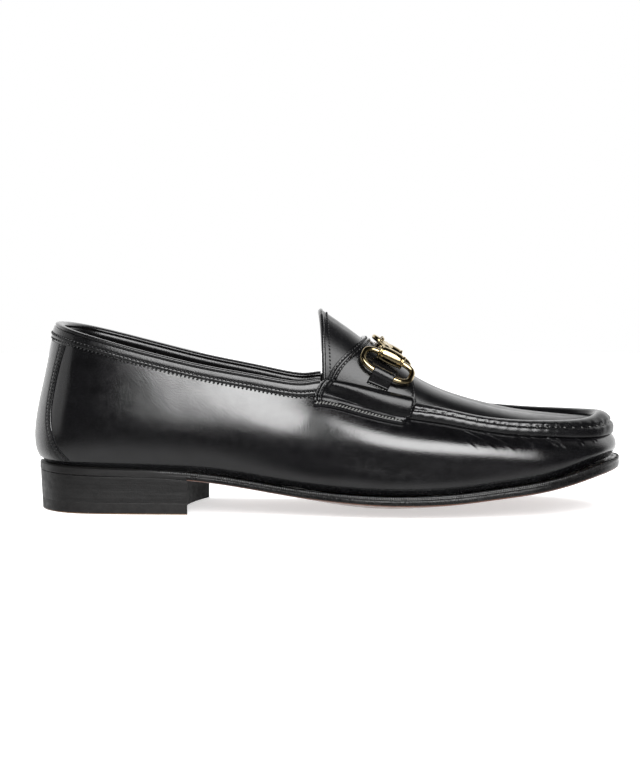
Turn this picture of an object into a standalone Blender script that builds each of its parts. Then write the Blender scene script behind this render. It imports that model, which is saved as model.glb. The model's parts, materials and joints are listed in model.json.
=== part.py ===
"""Bit loafer, right shoe. Metres. +X to the toe, +Y to the inner side, +Z up, origin under the middle of the heel."""

from math import cos, pi, radians, sin

import bmesh
import bpy
import numpy as np
from mathutils import Vector

# Driving sizes
SHOE_LENGTH = 0.303  # back of the upper to the tip of the sole
BALL_WIDTH = 0.103  # sole over its widest part
INSTEP_HEIGHT = 0.1032  # floor to the peak of the tongue
HEEL_HEIGHT = 0.020  # floor to the underside of the sole at the back
HEEL_SET = 0.0423  # back of the upper to the middle of the heel
SOLE_THICKNESS = 0.0054  # sole edge at the ball
SOLE_CURVE = 0.0070  # how far the middle of the sole lies below its edge at the ball
UPPER_WALL = 0.0020
GAP = 0.0003  # between pieces
SKIN_GAP = 0.0005  # between the upper and a leather laid on it
STRAP_THICKNESS = 0.0014
BACKSTAY_THICKNESS = 0.0011
BINDING_THICKNESS = 0.0009
INSOLE_THICKNESS = 0.0020
INSOLE_INSET = 0.0036  # upper's lower edge to the insole's edge
LIFT_THICKNESS = 0.0058  # top lift
HEEL_TAPER = 0.0010  # how far the heel draws in at the floor
BREAST_SHARE = 0.2595  # place of the heel breast, as a share of the length
BREAST_SKEW = 0.0035  # how much further forward the inner corner stands
BREAST_HOLLOW = 0.0064  # depth of the breast's curve
FEATHER_TUCK = 0.0012  # the upper's lower edge, in from the sole ledge
FEATHER_RISE = 0.0032  # height over which the upper turns out above the sole
FEATHER_OUT = 0.0009  # how far it has turned out there
ROLL_INSIDE = 0.0038  # width of the seam's roll on the apron side
ROLL_FALL = 0.0027  # height of the roll above the apron
BINDING_RISE = 0.0014  # the collar band above the upper's rim
BINDING_INSIDE = 0.0042  # depth of the collar band inside
RING_LENGTH = 0.0265  # the bit's oval ring, between the middles of its wire
RING_WIDTH = 0.0128
RING_WIRE = 0.0015
RING_LIFT = 0.0031  # middle of the wire above the strap
BARREL_LENGTH = 0.0125
BARREL_RADIUS = 0.0033
BARREL_WAIST = 0.0029
LINK_LENGTH = 0.0128
LINK_WIDTH = 0.0078
LINK_WIRE = 0.00105
EYE_RADIUS = 0.0026
ARM_RADIUS = 0.0015
TAB_WIDTH = 0.0112
TAB_THICKNESS = 0.0012
TAB_TAIL = 0.0010
RING_RIB = 11.62  # rib at the middle of each ring
RING_PLACE = 3.36  # place of the rings up the upper, between the seam and the middle line

# Sole edge at each rib, from the back of the heel to the tip: outer x and half width, inner x and half width, ledge
# x is a share of SHOE_LENGTH from the back; widths are shares of BALL_WIDTH
OUTLINE = (
    (0.0102, 0.000, 0.0102, 0.000, 0.0097),
    (0.0172, 0.102, 0.0172, 0.102, 0.0097),
    (0.0356, 0.194, 0.0356, 0.194, 0.0107),
    (0.0670, 0.268, 0.0670, 0.268, 0.0126),
    (0.1125, 0.303, 0.1125, 0.305, 0.0165),
    (0.1743, 0.318, 0.1743, 0.322, 0.0194),
    (0.2403, 0.326, 0.2403, 0.330, 0.0252),
    (0.3063, 0.338, 0.2997, 0.320, 0.0330),
    (0.3921, 0.369, 0.3789, 0.289, 0.0369),
    (0.4581, 0.408, 0.4581, 0.289, 0.0388),
    (0.5208, 0.447, 0.5307, 0.335, 0.0398),
    (0.5868, 0.476, 0.5967, 0.413, 0.0408),
    (0.6528, 0.490, 0.6627, 0.485, 0.0408),
    (0.7155, 0.485, 0.7221, 0.510, 0.0408),
    (0.7815, 0.458, 0.7881, 0.485, 0.0408),
    (0.8492, 0.421, 0.8525, 0.433, 0.0398),
    (0.8838, 0.386, 0.8871, 0.392, 0.0388),
    (0.9185, 0.334, 0.9218, 0.334, 0.0388),
    (0.9548, 0.254, 0.9564, 0.252, 0.0369),
    (0.9789, 0.177, 0.9789, 0.179, 0.0340),
    (0.9950, 0.089, 0.9950, 0.089, 0.0311),
    (1.0000, 0.000, 1.0000, 0.000, 0.0301),
)

# Upper at the same ribs: top x, outer half width and height, inner half width and height, fullest line out from the
# sole edge and its share of the wall's height, fullness above it, how much of the seam's roll there is, the roll's
# width outside and its depth. Heights and the roll's depth are shares of INSTEP_HEIGHT.
WALL = (
    (0.0436, 0.000, 0.9167, 0.000, 0.9167, 0.0155, 0.26, 0.0029, 0.00, 0.0214, 0.0581),
    (0.0475, 0.092, 0.9118, 0.092, 0.9138, 0.0155, 0.26, 0.0029, 0.00, 0.0223, 0.0581),
    (0.0601, 0.173, 0.9012, 0.173, 0.9060, 0.0165, 0.26, 0.0029, 0.00, 0.0194, 0.0581),
    (0.0828, 0.241, 0.8818, 0.241, 0.8905, 0.0184, 0.27, 0.0029, 0.00, 0.0155, 0.0581),
    (0.1182, 0.282, 0.8527, 0.282, 0.8643, 0.0204, 0.28, 0.0029, 0.00, 0.0117, 0.0581),
    (0.1743, 0.298, 0.8062, 0.298, 0.8217, 0.0194, 0.29, 0.0039, 0.00, 0.0087, 0.0581),
    (0.2403, 0.301, 0.7568, 0.301, 0.7713, 0.0136, 0.30, 0.0058, 0.00, 0.0078, 0.0581),
    (0.3063, 0.298, 0.7132, 0.298, 0.7258, 0.0039, 0.30, 0.0097, 0.00, 0.0078, 0.0581),
    (0.3855, 0.291, 0.6705, 0.287, 0.6793, -0.0078, 0.30, 0.0194, 0.00, 0.0087, 0.0581),
    (0.4548, 0.282, 0.6386, 0.278, 0.6424, -0.0175, 0.30, 0.0291, 0.00, 0.0117, 0.0581),
    (0.4960, 0.272, 0.6492, 0.268, 0.6512, -0.0214, 0.30, 0.0388, 0.35, 0.0194, 0.0678),
    (0.5571, 0.286, 0.6124, 0.282, 0.6163, -0.0233, 0.30, 0.0485, 0.80, 0.0388, 0.0795),
    (0.6231, 0.301, 0.5640, 0.301, 0.5717, -0.0233, 0.30, 0.0534, 1.00, 0.0485, 0.0795),
    (0.6891, 0.306, 0.5223, 0.316, 0.5349, -0.0233, 0.30, 0.0524, 1.00, 0.0485, 0.0678),
    (0.7551, 0.296, 0.4797, 0.311, 0.4990, -0.0223, 0.32, 0.0447, 1.00, 0.0505, 0.0620),
    (0.8178, 0.270, 0.4583, 0.282, 0.4826, -0.0204, 0.36, 0.0330, 1.00, 0.0524, 0.0659),
    (0.8574, 0.247, 0.4535, 0.258, 0.4767, -0.0194, 0.38, 0.0252, 1.00, 0.0544, 0.0717),
    (0.8970, 0.206, 0.4506, 0.214, 0.4758, -0.0184, 0.40, 0.0194, 1.00, 0.0563, 0.0795),
    (0.9317, 0.150, 0.4535, 0.153, 0.4767, -0.0175, 0.42, 0.0136, 1.00, 0.0583, 0.0872),
    (0.9515, 0.095, 0.4632, 0.097, 0.4787, -0.0165, 0.44, 0.0097, 1.00, 0.0592, 0.0950),
    (0.9627, 0.047, 0.4748, 0.048, 0.4797, -0.0165, 0.45, 0.0078, 1.00, 0.0602, 0.1017),
    (0.9660, 0.000, 0.4797, 0.000, 0.4797, -0.0165, 0.45, 0.0078, 1.00, 0.0602, 0.1047),
)

# Middle line from the tongue's peak over the apron, one row for each rib from the throat on: x, height, roundness,
# how much of the roll stands over the apron
CREST = (
    (0.4908, 0.9922, 0.95, 0.25),
    (0.5472, 0.8740, 0.93, 0.25),
    (0.6017, 0.7452, 0.88, 0.45),
    (0.6561, 0.6337, 0.80, 1.00),
    (0.7089, 0.5630, 0.70, 1.00),
    (0.7584, 0.5165, 0.55, 1.00),
    (0.7947, 0.4913, 0.45, 1.00),
    (0.8244, 0.4777, 0.35, 1.00),
    (0.8492, 0.4680, 0.30, 1.00),
    (0.8673, 0.4622, 0.30, 1.00),
    (0.8822, 0.4583, 0.30, 1.00),
    (0.8937, 0.4545, 0.30, 1.00),
)

# Sole from the side: x, underside of the edge as a share of HEEL_HEIGHT, thickness as a share of SOLE_THICKNESS,
# curve across as a share of SOLE_CURVE
SOLE_SIDE = (
    (0.0000, 1.010, 0.796, 0.000),
    (0.1413, 0.950, 0.778, 0.000),
    (0.2690, 0.865, 0.741, 0.000),
    (0.3261, 0.775, 0.741, 0.160),
    (0.3908, 0.628, 0.741, 0.349),
    (0.4568, 0.485, 0.760, 0.600),
    (0.5221, 0.385, 0.815, 0.850),
    (0.5868, 0.322, 0.890, 1.000),
    (0.6512, 0.322, 0.926, 1.000),
    (0.7155, 0.372, 0.945, 0.900),
    (0.7815, 0.478, 0.965, 0.700),
    (0.8492, 0.605, 0.990, 0.480),
    (0.9185, 0.810, 1.019, 0.270),
    (0.9548, 0.940, 1.056, 0.159),
    (1.0000, 1.070, 1.111, 0.063),
)

# The seam's roll across, from its foot on the wall to its top: share of the width outside, share of the depth
ROLL = ((1.00, 1.00), (1.12, 0.78), (1.05, 0.46), (0.64, 0.13), (0.00, 0.00))

# Saddle strap from the edge of its wing to the middle: place up the upper, rib of its back edge, rib of its front edge
STRAP = (
    (0.870, 9.72, 11.92),
    (0.930, 9.70, 12.06),
    (1.000, 9.72, 12.20),
    (1.250, 9.76, 12.27),
    (1.500, 9.80, 12.32),
    (1.750, 9.86, 12.36),
    (2.000, 9.94, 12.38),
    (2.500, 10.06, 12.38),
    (3.000, 10.14, 12.38),
    (3.167, 10.30, 12.38),
    (3.333, 10.48, 12.40),
    (3.500, 10.70, 12.42),
    (3.667, 10.92, 12.45),
    (3.833, 11.12, 12.48),
    (4.000, 11.26, 12.50),
)

# Backstay: place up the upper, rib of its edge
BACKSTAY = ((0.05, 3.10), (0.16, 2.72), (0.30, 2.36), (0.46, 2.18), (0.62, 2.16), (0.80, 2.26), (0.975, 2.48))

RIBS = len(OUTLINE) - 1
THROAT = RIBS - len(CREST) + 1
SOLE_ACROSS = (0.12, 0.42, 0.74)
STEP = 0.5  # ribs between two sections of the mesh


def curve(knots, rows):
    """A natural cubic through the rows, one row to a knot."""
    t, y = np.asarray(knots, float), np.asarray(rows, float)
    h = np.diff(t)
    system = np.eye(len(t))
    right = np.zeros_like(y)
    for i in range(1, len(t) - 1):
        system[i, i - 1 : i + 2] = h[i - 1], 2 * (h[i - 1] + h[i]), h[i]
        right[i] = 6 * ((y[i + 1] - y[i]) / h[i] - (y[i] - y[i - 1]) / h[i - 1])
    bend = np.linalg.solve(system, right)

    def at(x):
        i = int(np.clip(np.searchsorted(t, x) - 1, 0, len(h) - 1))
        a, b = t[i + 1] - x, x - t[i]
        ends = (y[i] / h[i] - bend[i] * h[i] / 6) * a + (y[i + 1] / h[i] - bend[i + 1] * h[i] / 6) * b
        return (bend[i] * a**3 + bend[i + 1] * b**3) / (6 * h[i]) + ends

    return at


def around(outer, inner):
    """A closed curve over the ribs: outer ribs are negative, inner ones positive, and both tips join."""
    outer, inner = np.asarray(outer, float), np.asarray(inner, float)
    once = np.concatenate([outer[::-1], inner[1:-1]])
    count = len(once)
    knots = np.arange(-RIBS - 4, RIBS + 5)
    return curve(knots, [once[(k + RIBS) % count] for k in knots])


def place(share):
    return share * SHOE_LENGTH - HEEL_SET


outline = np.array(OUTLINE)
wall = np.array(WALL)
edge_of = around(
    np.column_stack([place(outline[:, 0]), -outline[:, 1] * BALL_WIDTH, outline[:, 4] * BALL_WIDTH]),
    np.column_stack([place(outline[:, 2]), outline[:, 3] * BALL_WIDTH, outline[:, 4] * BALL_WIDTH]),
)
shape = np.column_stack(
    [wall[:, 5] * BALL_WIDTH, wall[:, 6], wall[:, 7] * BALL_WIDTH, wall[:, 8], wall[:, 9] * BALL_WIDTH, wall[:, 10] * INSTEP_HEIGHT]
)
top_of = around(
    np.column_stack([place(wall[:, 0]), -wall[:, 1] * BALL_WIDTH, wall[:, 2] * INSTEP_HEIGHT, shape]),
    np.column_stack([place(wall[:, 0]), wall[:, 3] * BALL_WIDTH, wall[:, 4] * INSTEP_HEIGHT, shape]),
)
crest = np.array(CREST)
crest_of = curve(
    range(THROAT, RIBS + 1),
    np.column_stack([place(crest[:, 0]), crest[:, 1] * INSTEP_HEIGHT, crest[:, 2:]]),
)
sole_side = np.array(SOLE_SIDE)
sole_of = curve(
    place(sole_side[:, 0]),
    np.column_stack([sole_side[:, 1] * HEEL_HEIGHT, sole_side[:, 2] * SOLE_THICKNESS, sole_side[:, 3] * SOLE_CURVE]),
)


def under(x, across=1.0):
    """Height of the sole's underside, flat where it meets the floor."""
    rise, _, dip = sole_of(x)
    return max(0.0, rise - dip * (1 - abs(across) ** 1.3))


def over(x, across=1.0):
    return under(x, across) + sole_of(x)[1]


def outward(rib):
    """Unit vector in plan, away from the shoe at the sole edge."""
    dx, dy = (edge_of(rib + 0.05) - edge_of(rib - 0.05))[:2]
    return np.array([-dy, dx]) / np.hypot(dx, dy)


def edge_point(rib, inset=0.0):
    return edge_of(rib)[:2] - outward(rib) * inset


def roll_point(rib, out, depth):
    """A point of the roll beside the top of the seam."""
    x, y, z = top_of(rib)[:3]
    return np.array([*(np.array([x, y]) + outward(rib) * out), z - depth])


def wall_points(rib):
    """The wall's section: lower edge, turn, fullest point, upper wall, foot of the roll."""
    full, full_up, upper_full, _, roll_out, roll_depth = top_of(rib)[3:]
    ledge = edge_of(rib)[2]
    x, y = edge_point(rib, ledge + FEATHER_TUCK)
    low = over(edge_of(rib)[0]) + GAP
    foot = roll_point(rib, roll_out, roll_depth)
    tall = foot[2] - low
    turn = np.array([*edge_point(rib, ledge - FEATHER_OUT), low + FEATHER_RISE])
    belly = np.array([*edge_point(rib, -full), low + full_up * tall])
    between = (belly + foot) / 2 + np.array([*(outward(rib) * upper_full), 0.0])
    return [np.array([x, y, low]), turn, belly, between, foot]


def skin(rib, up):
    """A point of the upper's outside. up: 0 lower edge, 1 foot of the roll, 2 seam, 3 apron's edge, 4 middle line."""
    if up <= 1:
        points = wall_points(rib)
        along = np.concatenate([[0], np.cumsum([np.linalg.norm(b - a) for a, b in zip(points, points[1:])])])
        return curve(along, points)(up * along[-1])
    roll, roll_out, roll_depth = top_of(rib)[6:]
    if up <= 2:
        at = (up - 1) * (len(ROLL) - 1)
        i = min(int(at), len(ROLL) - 2)
        out, depth = np.array(ROLL[i]) + (np.array(ROLL[i + 1]) - np.array(ROLL[i])) * (at - i)
        out, depth = out * roll + (2 - up) * (1 - roll), depth * roll + (2 - up) * (1 - roll)
        return roll_point(rib, roll_out * out, roll_depth * depth)
    x, z, round_share, inner_roll = crest_of(abs(rib))
    inside = roll_point(rib, -ROLL_INSIDE * inner_roll, ROLL_FALL * inner_roll)
    if up <= 3:
        turn = roll_point(rib, -ROLL_INSIDE * inner_roll * 0.55, ROLL_FALL * inner_roll * 0.28)
        start, end, at = (roll_point(rib, 0, 0), turn, (up - 2) * 2) if up < 2.5 else (turn, inside, (up - 2.5) * 2)
        return start + (end - start) * at
    at = up - 3
    across = round_share * (1 - cos(at * pi / 2)) + (1 - round_share) * at
    rise = round_share * sin(at * pi / 2) + (1 - round_share) * at * (2 - at)
    plan = inside[:2] + (np.array([x, 0.0]) - inside[:2]) * across
    return np.array([*plan, inside[2] + (z - inside[2]) * rise])


def unit(vector):
    return vector / np.linalg.norm(vector)


def skin_normal(rib, up):
    """Away from the upper's outside, halfway between the faces on both sides of a fold, longer where the fold is sharp."""
    side = 0.12
    sign = 1 if rib > 0 else -1
    near, far = abs(rib) - side, min(RIBS, abs(rib) + side)
    if up < 2:
        along = skin(rib + side, up) - skin(rib - side, up)
    else:
        along = (skin(sign * far, up) - skin(sign * max(THROAT, near), up)) * sign
    here = skin(rib, up)
    below = unit(here - skin(rib, up - 0.02)) if up > 0 else None
    above = unit(skin(rib, up + 0.02) - here) if up < 4 else np.array([0.0, -sign, 0.0])
    below = above if below is None else below
    if up == 4:
        below = above
    half = np.sqrt(max(0.06, (1 + below.dot(above)) / 2))
    return unit(np.cross(below + above, along)) / half


def material(name, colour, metal=0.0, rough=0.3):
    made = bpy.data.materials.new(name)
    made.use_nodes = True
    shader = made.node_tree.nodes["Principled BSDF"]
    shader.inputs["Base Color"].default_value = (*colour, 1.0)
    shader.inputs["Metallic"].default_value = metal
    shader.inputs["Roughness"].default_value = rough
    return made


def add(name, points, faces, look):
    """One object from points and faces. Points that coincide at a tip become one."""
    mesh = bpy.data.meshes.new(name)
    mesh.from_pydata([tuple(p) for p in points], [], faces)
    shell = bmesh.new()
    shell.from_mesh(mesh)
    bmesh.ops.remove_doubles(shell, verts=shell.verts, dist=1e-6)
    bmesh.ops.dissolve_degenerate(shell, edges=shell.edges, dist=1e-7)
    bmesh.ops.recalc_face_normals(shell, faces=shell.faces)
    shell.to_mesh(mesh)
    shell.free()
    mesh.materials.append(look)
    made = bpy.data.objects.new(name, mesh)
    loafer.objects.link(made)
    return made


def grid_faces(rows, columns, start=0, closed=False):
    """Quads between rows of points, each row with the same number of them."""
    last = columns if closed else columns - 1
    return [
        (start + i * columns + j, start + i * columns + (j + 1) % columns, start + (i + 1) * columns + (j + 1) % columns, start + (i + 1) * columns + j)
        for i in range(rows - 1)
        for j in range(last)
    ]


def add_tube(name, loops, look, capped=True):
    """A body from closed loops of points."""
    count = len(loops[0])
    faces = grid_faces(len(loops), count, closed=True)
    if capped:
        faces.append(tuple(range(count)))
        faces.append(tuple((len(loops) - 1) * count + i for i in range(count)))
    return add(name, [p for loop in loops for p in loop], faces, look)


def thicken(made, thickness, way):
    shell = made.modifiers.new("Wall", "SOLIDIFY")
    shell.thickness = thickness
    shell.offset = way
    shell.use_rim = True
    return made


for old in list(bpy.data.objects):
    bpy.data.objects.remove(old, do_unlink=True)
loafer = bpy.data.collections.new("bit_loafer")
bpy.context.scene.collection.children.link(loafer)

BLACK_CALF = material("black_calf", (0.012, 0.012, 0.014), rough=0.22)
BLACK_STRAP = material("black_strap_calf", (0.014, 0.014, 0.016), rough=0.25)
BLACK_TRIM = material("black_trim_calf", (0.016, 0.016, 0.018), rough=0.3)
SOLE_LEATHER = material("sole_leather", (0.20, 0.09, 0.05), rough=0.5)
HEEL_LEATHER = material("heel_leather", (0.02, 0.018, 0.018), rough=0.4)
LIFT_RUBBER = material("lift_rubber", (0.03, 0.028, 0.027), rough=0.6)
LINING = material("lining_leather", (0.32, 0.22, 0.14), rough=0.6)
PALE_GOLD = material("pale_gold", (0.82, 0.72, 0.48), metal=1.0, rough=0.15)


def sections(start, end, step=STEP):
    count = int(round((end - start) / step))
    return [start + (end - start) * i / count for i in range(count + 1)]


def across_line(rib, inset, shares, height):
    """Points from the outer to the inner edge at one rib."""
    outer, inner = edge_point(-rib, inset), edge_point(rib, inset)
    points = []
    for share in shares:
        x, y = outer + (inner - outer) * (1 + share) / 2
        points.append((x, y, height(x, share)))
    return points


def mirrored(shares, rim):
    return [-rim] + [-s for s in reversed(shares)] + list(shares) + [rim]


def add_outsole():
    bevel = 0.0009
    loops = []
    for rib in sections(0, RIBS):
        shares = mirrored(SOLE_ACROSS, 1.0)
        inset = bevel if 0 < rib < RIBS else 0.0
        loop = across_line(rib, inset, shares, over)
        for side in (1, -1):
            for rise in (0.22, 0.78):
                x, y = edge_point(side * rib)
                low, high = under(x), over(x)
                lift = rise if side < 0 else 1 - rise
                loop.append((x, y, low + (high - low) * lift))
            if side > 0:
                loop += across_line(rib, inset, shares, under)[::-1]
        loops.append(loop)
    tips = (loops[0], loops[-1])
    for tip in tips:
        x = tip[0][0]
        way = 1 if tip is loops[0] else -1
        half = len(mirrored(SOLE_ACROSS, 1.0))
        for i, point in enumerate(tip):
            flat = i < half or half + 2 <= i < 2 * half + 2
            tip[i] = (x + way * bevel if flat else x, 0.0, point[2])
    add_tube("outsole", loops, SOLE_LEATHER, capped=False)


def add_heel(name, low, high, inset, look, grow):
    """A lift of the heel between two heights, each a function of x. grow widens the foot towards the top."""
    breast = place(BREAST_SHARE)
    shares = [-1, -0.6, -0.2, 0.2, 0.6, 1]

    def line(rib, height, draw):
        points = across_line(rib, inset + draw, shares, lambda x, s: 0.0)
        return [(x, y, height(x)) for x, y, _ in points]

    def front(height, draw):
        points = []
        for share in shares:
            rib_outer = breast_rib(-1, breast)
            rib_inner = breast_rib(1, breast)
            outer, inner = edge_point(-rib_outer, inset + draw), edge_point(rib_inner, inset + draw)
            y = outer[1] + (inner[1] - outer[1]) * (1 + share) / 2
            x = breast + BREAST_SKEW * share + BREAST_HOLLOW * share**2
            points.append((x, y, height(x)))
        return points

    loops = []
    for rib in [0.0, 0.5, 1.0, 1.5, 2.0, 2.5, 3.0, 3.5, 4.0, 4.75, 5.5, 6.0]:
        loops.append(line(rib, high, 0.0) + line(rib, low, grow)[::-1])
    loops.append(front(high, 0.0) + front(low, grow)[::-1])
    add_tube(name, loops, look)


def breast_rib(side, x):
    """The rib whose sole edge has this x."""
    low, high = 3.0, 10.0
    for _ in range(40):
        middle = (low + high) / 2
        low, high = (middle, high) if edge_of(side * middle)[0] < x else (low, middle)
    return low


def add_insole():
    loops = []
    shares = mirrored(SOLE_ACROSS, 1.0)
    for rib in sections(0.5, RIBS - 0.5, 1.0):
        inset = edge_of(rib)[2] + FEATHER_TUCK + INSOLE_INSET
        loop = across_line(rib, inset, shares, lambda x, s: over(x, s) + GAP * 2 + INSOLE_THICKNESS)
        loop += across_line(rib, inset, shares, lambda x, s: over(x, s) + GAP * 2)[::-1]
        loops.append(loop)
    add_tube("insole", loops, LINING)


UPPER_ROWS = [0.0, 0.075, 0.22, 0.40, 0.60, 0.80, 1.0, 1.25, 1.5, 1.75, 2.0]
APRON_ROWS = [2.5, 3.0, 3.167, 3.333, 3.5, 3.667, 3.833, 4.0]


def add_upper():
    extra = [side * (THROAT + share) for side in (-1, 1) for share in (0.25, 0.75)]
    ribs = sorted(sections(-RIBS, RIBS)[:-1] + extra)
    points = [skin(rib, up) for rib in ribs for up in UPPER_ROWS]
    wide = len(UPPER_ROWS)
    faces = []
    for i in range(len(ribs)):
        j = (i + 1) % len(ribs)
        faces += [(i * wide + k, i * wide + k + 1, j * wide + k + 1, j * wide + k) for k in range(wide - 1)]
    for side in (-1, 1):
        front = sorted(sections(THROAT, RIBS) + extra[2:])
        start = len(points)
        points += [skin(side * rib, up) for rib in front for up in [2.0] + APRON_ROWS]
        faces += grid_faces(len(front), len(APRON_ROWS) + 1, start)
    made = add("upper", points, faces, BLACK_CALF)
    return thicken(made, UPPER_WALL, -1)


def strap_grid(table, side, columns):
    grid = []
    for up, back, front in table:
        grid.append([(side * (back + (front - back) * j / (columns - 1)), up) for j in range(columns)])
    return grid


def lifted(rib, up, lift):
    return skin(rib, up) + skin_normal(rib, up) * lift


def add_strap():
    columns = 7
    outer = strap_grid(STRAP, -1, columns)
    inner = strap_grid(STRAP, 1, columns)[:-1][::-1]
    places = outer + inner
    points = [lifted(rib, up, SKIN_GAP) for row in places for rib, up in row]
    made = add("saddle_strap", points, grid_faces(len(places), columns), BLACK_STRAP)
    return thicken(made, STRAP_THICKNESS, 1)


def add_backstay():
    columns = 15
    points = []
    for up, edge in BACKSTAY:
        points += [lifted(-edge + 2 * edge * j / (columns - 1), up, SKIN_GAP) for j in range(columns)]
    made = add("backstay", points, grid_faces(len(BACKSTAY), columns), BLACK_TRIM)
    return thicken(made, BACKSTAY_THICKNESS, 1)


def add_binding():
    """The collar band: outside, over the rim and a little way down inside."""
    loops = []
    end = THROAT - 0.5
    for rib in sections(-end, end):
        foot, rim = skin(rib, 1.0), skin(rib, 2.0)
        up = (rim - foot) / np.linalg.norm(rim - foot)
        ahead = skin(rib + 0.1, 2.0) - skin(rib - 0.1, 2.0)
        out = np.cross(up, ahead)
        out /= np.linalg.norm(out)
        down = np.linalg.norm(rim - foot)
        inner = -UPPER_WALL - GAP * 1.6
        skin_out = SKIN_GAP + BINDING_THICKNESS
        section = (
            (-down, SKIN_GAP),
            (-down, skin_out),
            (-0.0006, skin_out + 0.0002),
            (BINDING_RISE * 0.7, skin_out - 0.0003),
            (BINDING_RISE, -0.0002),
            (BINDING_RISE, -UPPER_WALL + 0.0002),
            (BINDING_RISE * 0.6, inner - BINDING_THICKNESS),
            (-BINDING_INSIDE, inner - BINDING_THICKNESS),
            (-BINDING_INSIDE, inner),
            (GAP, inner),
            (GAP, SKIN_GAP),
        )
        loops.append([rim + up * a + out * b for a, b in section])
    add_tube("collar_binding", loops, BLACK_TRIM)


class Bed:
    """A flat place on the strap: along points down the slope to the toe, across to the wing, up away from it."""

    def __init__(self, side, rib, up, lift):
        normal = unit(skin_normal(side * rib, up))
        ahead = skin(side * (rib + 0.3), up) - skin(side * (rib - 0.3), up)
        ahead -= normal * ahead.dot(normal)
        self.along = ahead / np.linalg.norm(ahead)
        self.up = normal
        self.across = np.cross(self.along, self.up) * (1 if side < 0 else -1)
        if self.across[1] * side < 0:
            self.across = -self.across
        self.base = skin(side * rib, up) + normal * (SKIN_GAP + STRAP_THICKNESS)
        self.lift = lift
        rows, heights = [], []
        for near in (rib - 0.6, rib, rib + 0.6):
            for at in np.linspace(3.05, 3.7, 9):
                away = lifted(side * near, at, SKIN_GAP + STRAP_THICKNESS) - self.base
                rows.append(self.terms(away.dot(self.along), away.dot(self.across)))
                heights.append(away.dot(self.up))
        self.fit = np.linalg.lstsq(np.array(rows), np.array(heights), rcond=None)[0]

    @staticmethod
    def terms(along, across):
        return [1.0, along, across, along**2, along * across, across**2, across**3]

    def floor(self, along, across):
        """Height of the strap under a point, counted from the lifted plane."""
        return float(np.dot(self.fit, self.terms(along, across))) - self.lift

    def point(self, along, across, up):
        return self.base + self.along * along + self.across * across + self.up * (up + self.lift)


def sweep(path, frames, radius, sides, closed):
    loops = []
    for (centre, first, second), r in zip([(p, *f) for p, f in zip(path, frames)], radius):
        loops.append([centre + first * cos(2 * pi * k / sides) * r + second * sin(2 * pi * k / sides) * r for k in range(sides)])
    if closed:
        loops.append(loops[0])
    return loops


def ring_loops(at, length, width, wire, flat, round_power, count, sides, normal, x_way, y_way):
    """An oval of wire. Its half towards -y is flat, the other round."""
    path = []
    for k in range(count):
        angle = 2 * pi * k / count
        power = flat if sin(angle) < 0 else round_power
        x = np.sign(cos(angle)) * abs(cos(angle)) ** (2 / power) * length / 2
        y = np.sign(sin(angle)) * abs(sin(angle)) ** (2 / power) * width / 2
        path.append(at + x_way * x + y_way * y)
    frames = []
    for k, point in enumerate(path):
        ahead = path[(k + 1) % count] - path[k - 1]
        side = np.cross(ahead, normal)
        frames.append((side / np.linalg.norm(side), normal))
    return sweep(path, frames, [wire] * count, sides, True)


def add_bit():
    middle = Bed(1, RING_RIB, 3.99, 0.0)
    crown = middle.base.copy()
    crown[1] = 0.0
    slope = middle.along.copy()
    slope[1] = 0.0
    slope /= np.linalg.norm(slope)
    across = np.array([0.0, 1.0, 0.0])
    up = np.cross(slope, across)
    up *= np.sign(up[2])
    link_centre = crown + up * (EYE_RADIUS + ARM_RADIUS * 0.6 + 0.0009)
    add_tube(
        "centre_link",
        ring_loops(link_centre, LINK_WIDTH, LINK_LENGTH, LINK_WIRE, 2.4, 2.4, 16, 6, up, slope, across),
        PALE_GOLD,
        capped=False,
    )
    for side, name in ((-1, "lateral"), (1, "medial")):
        bed = Bed(side, RING_RIB, RING_PLACE, RING_LIFT)
        centre = bed.point(0, 0, 0)
        add_tube(
            "ring_" + name,
            ring_loops(centre, RING_LENGTH, RING_WIDTH, RING_WIRE, 4.0, 2.5, 24, 7, bed.up, bed.along, bed.across),
            PALE_GOLD,
            capped=False,
        )
        add_bar(side, name, bed, link_centre, slope, across, up)
        add_tab(name, bed)


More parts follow.
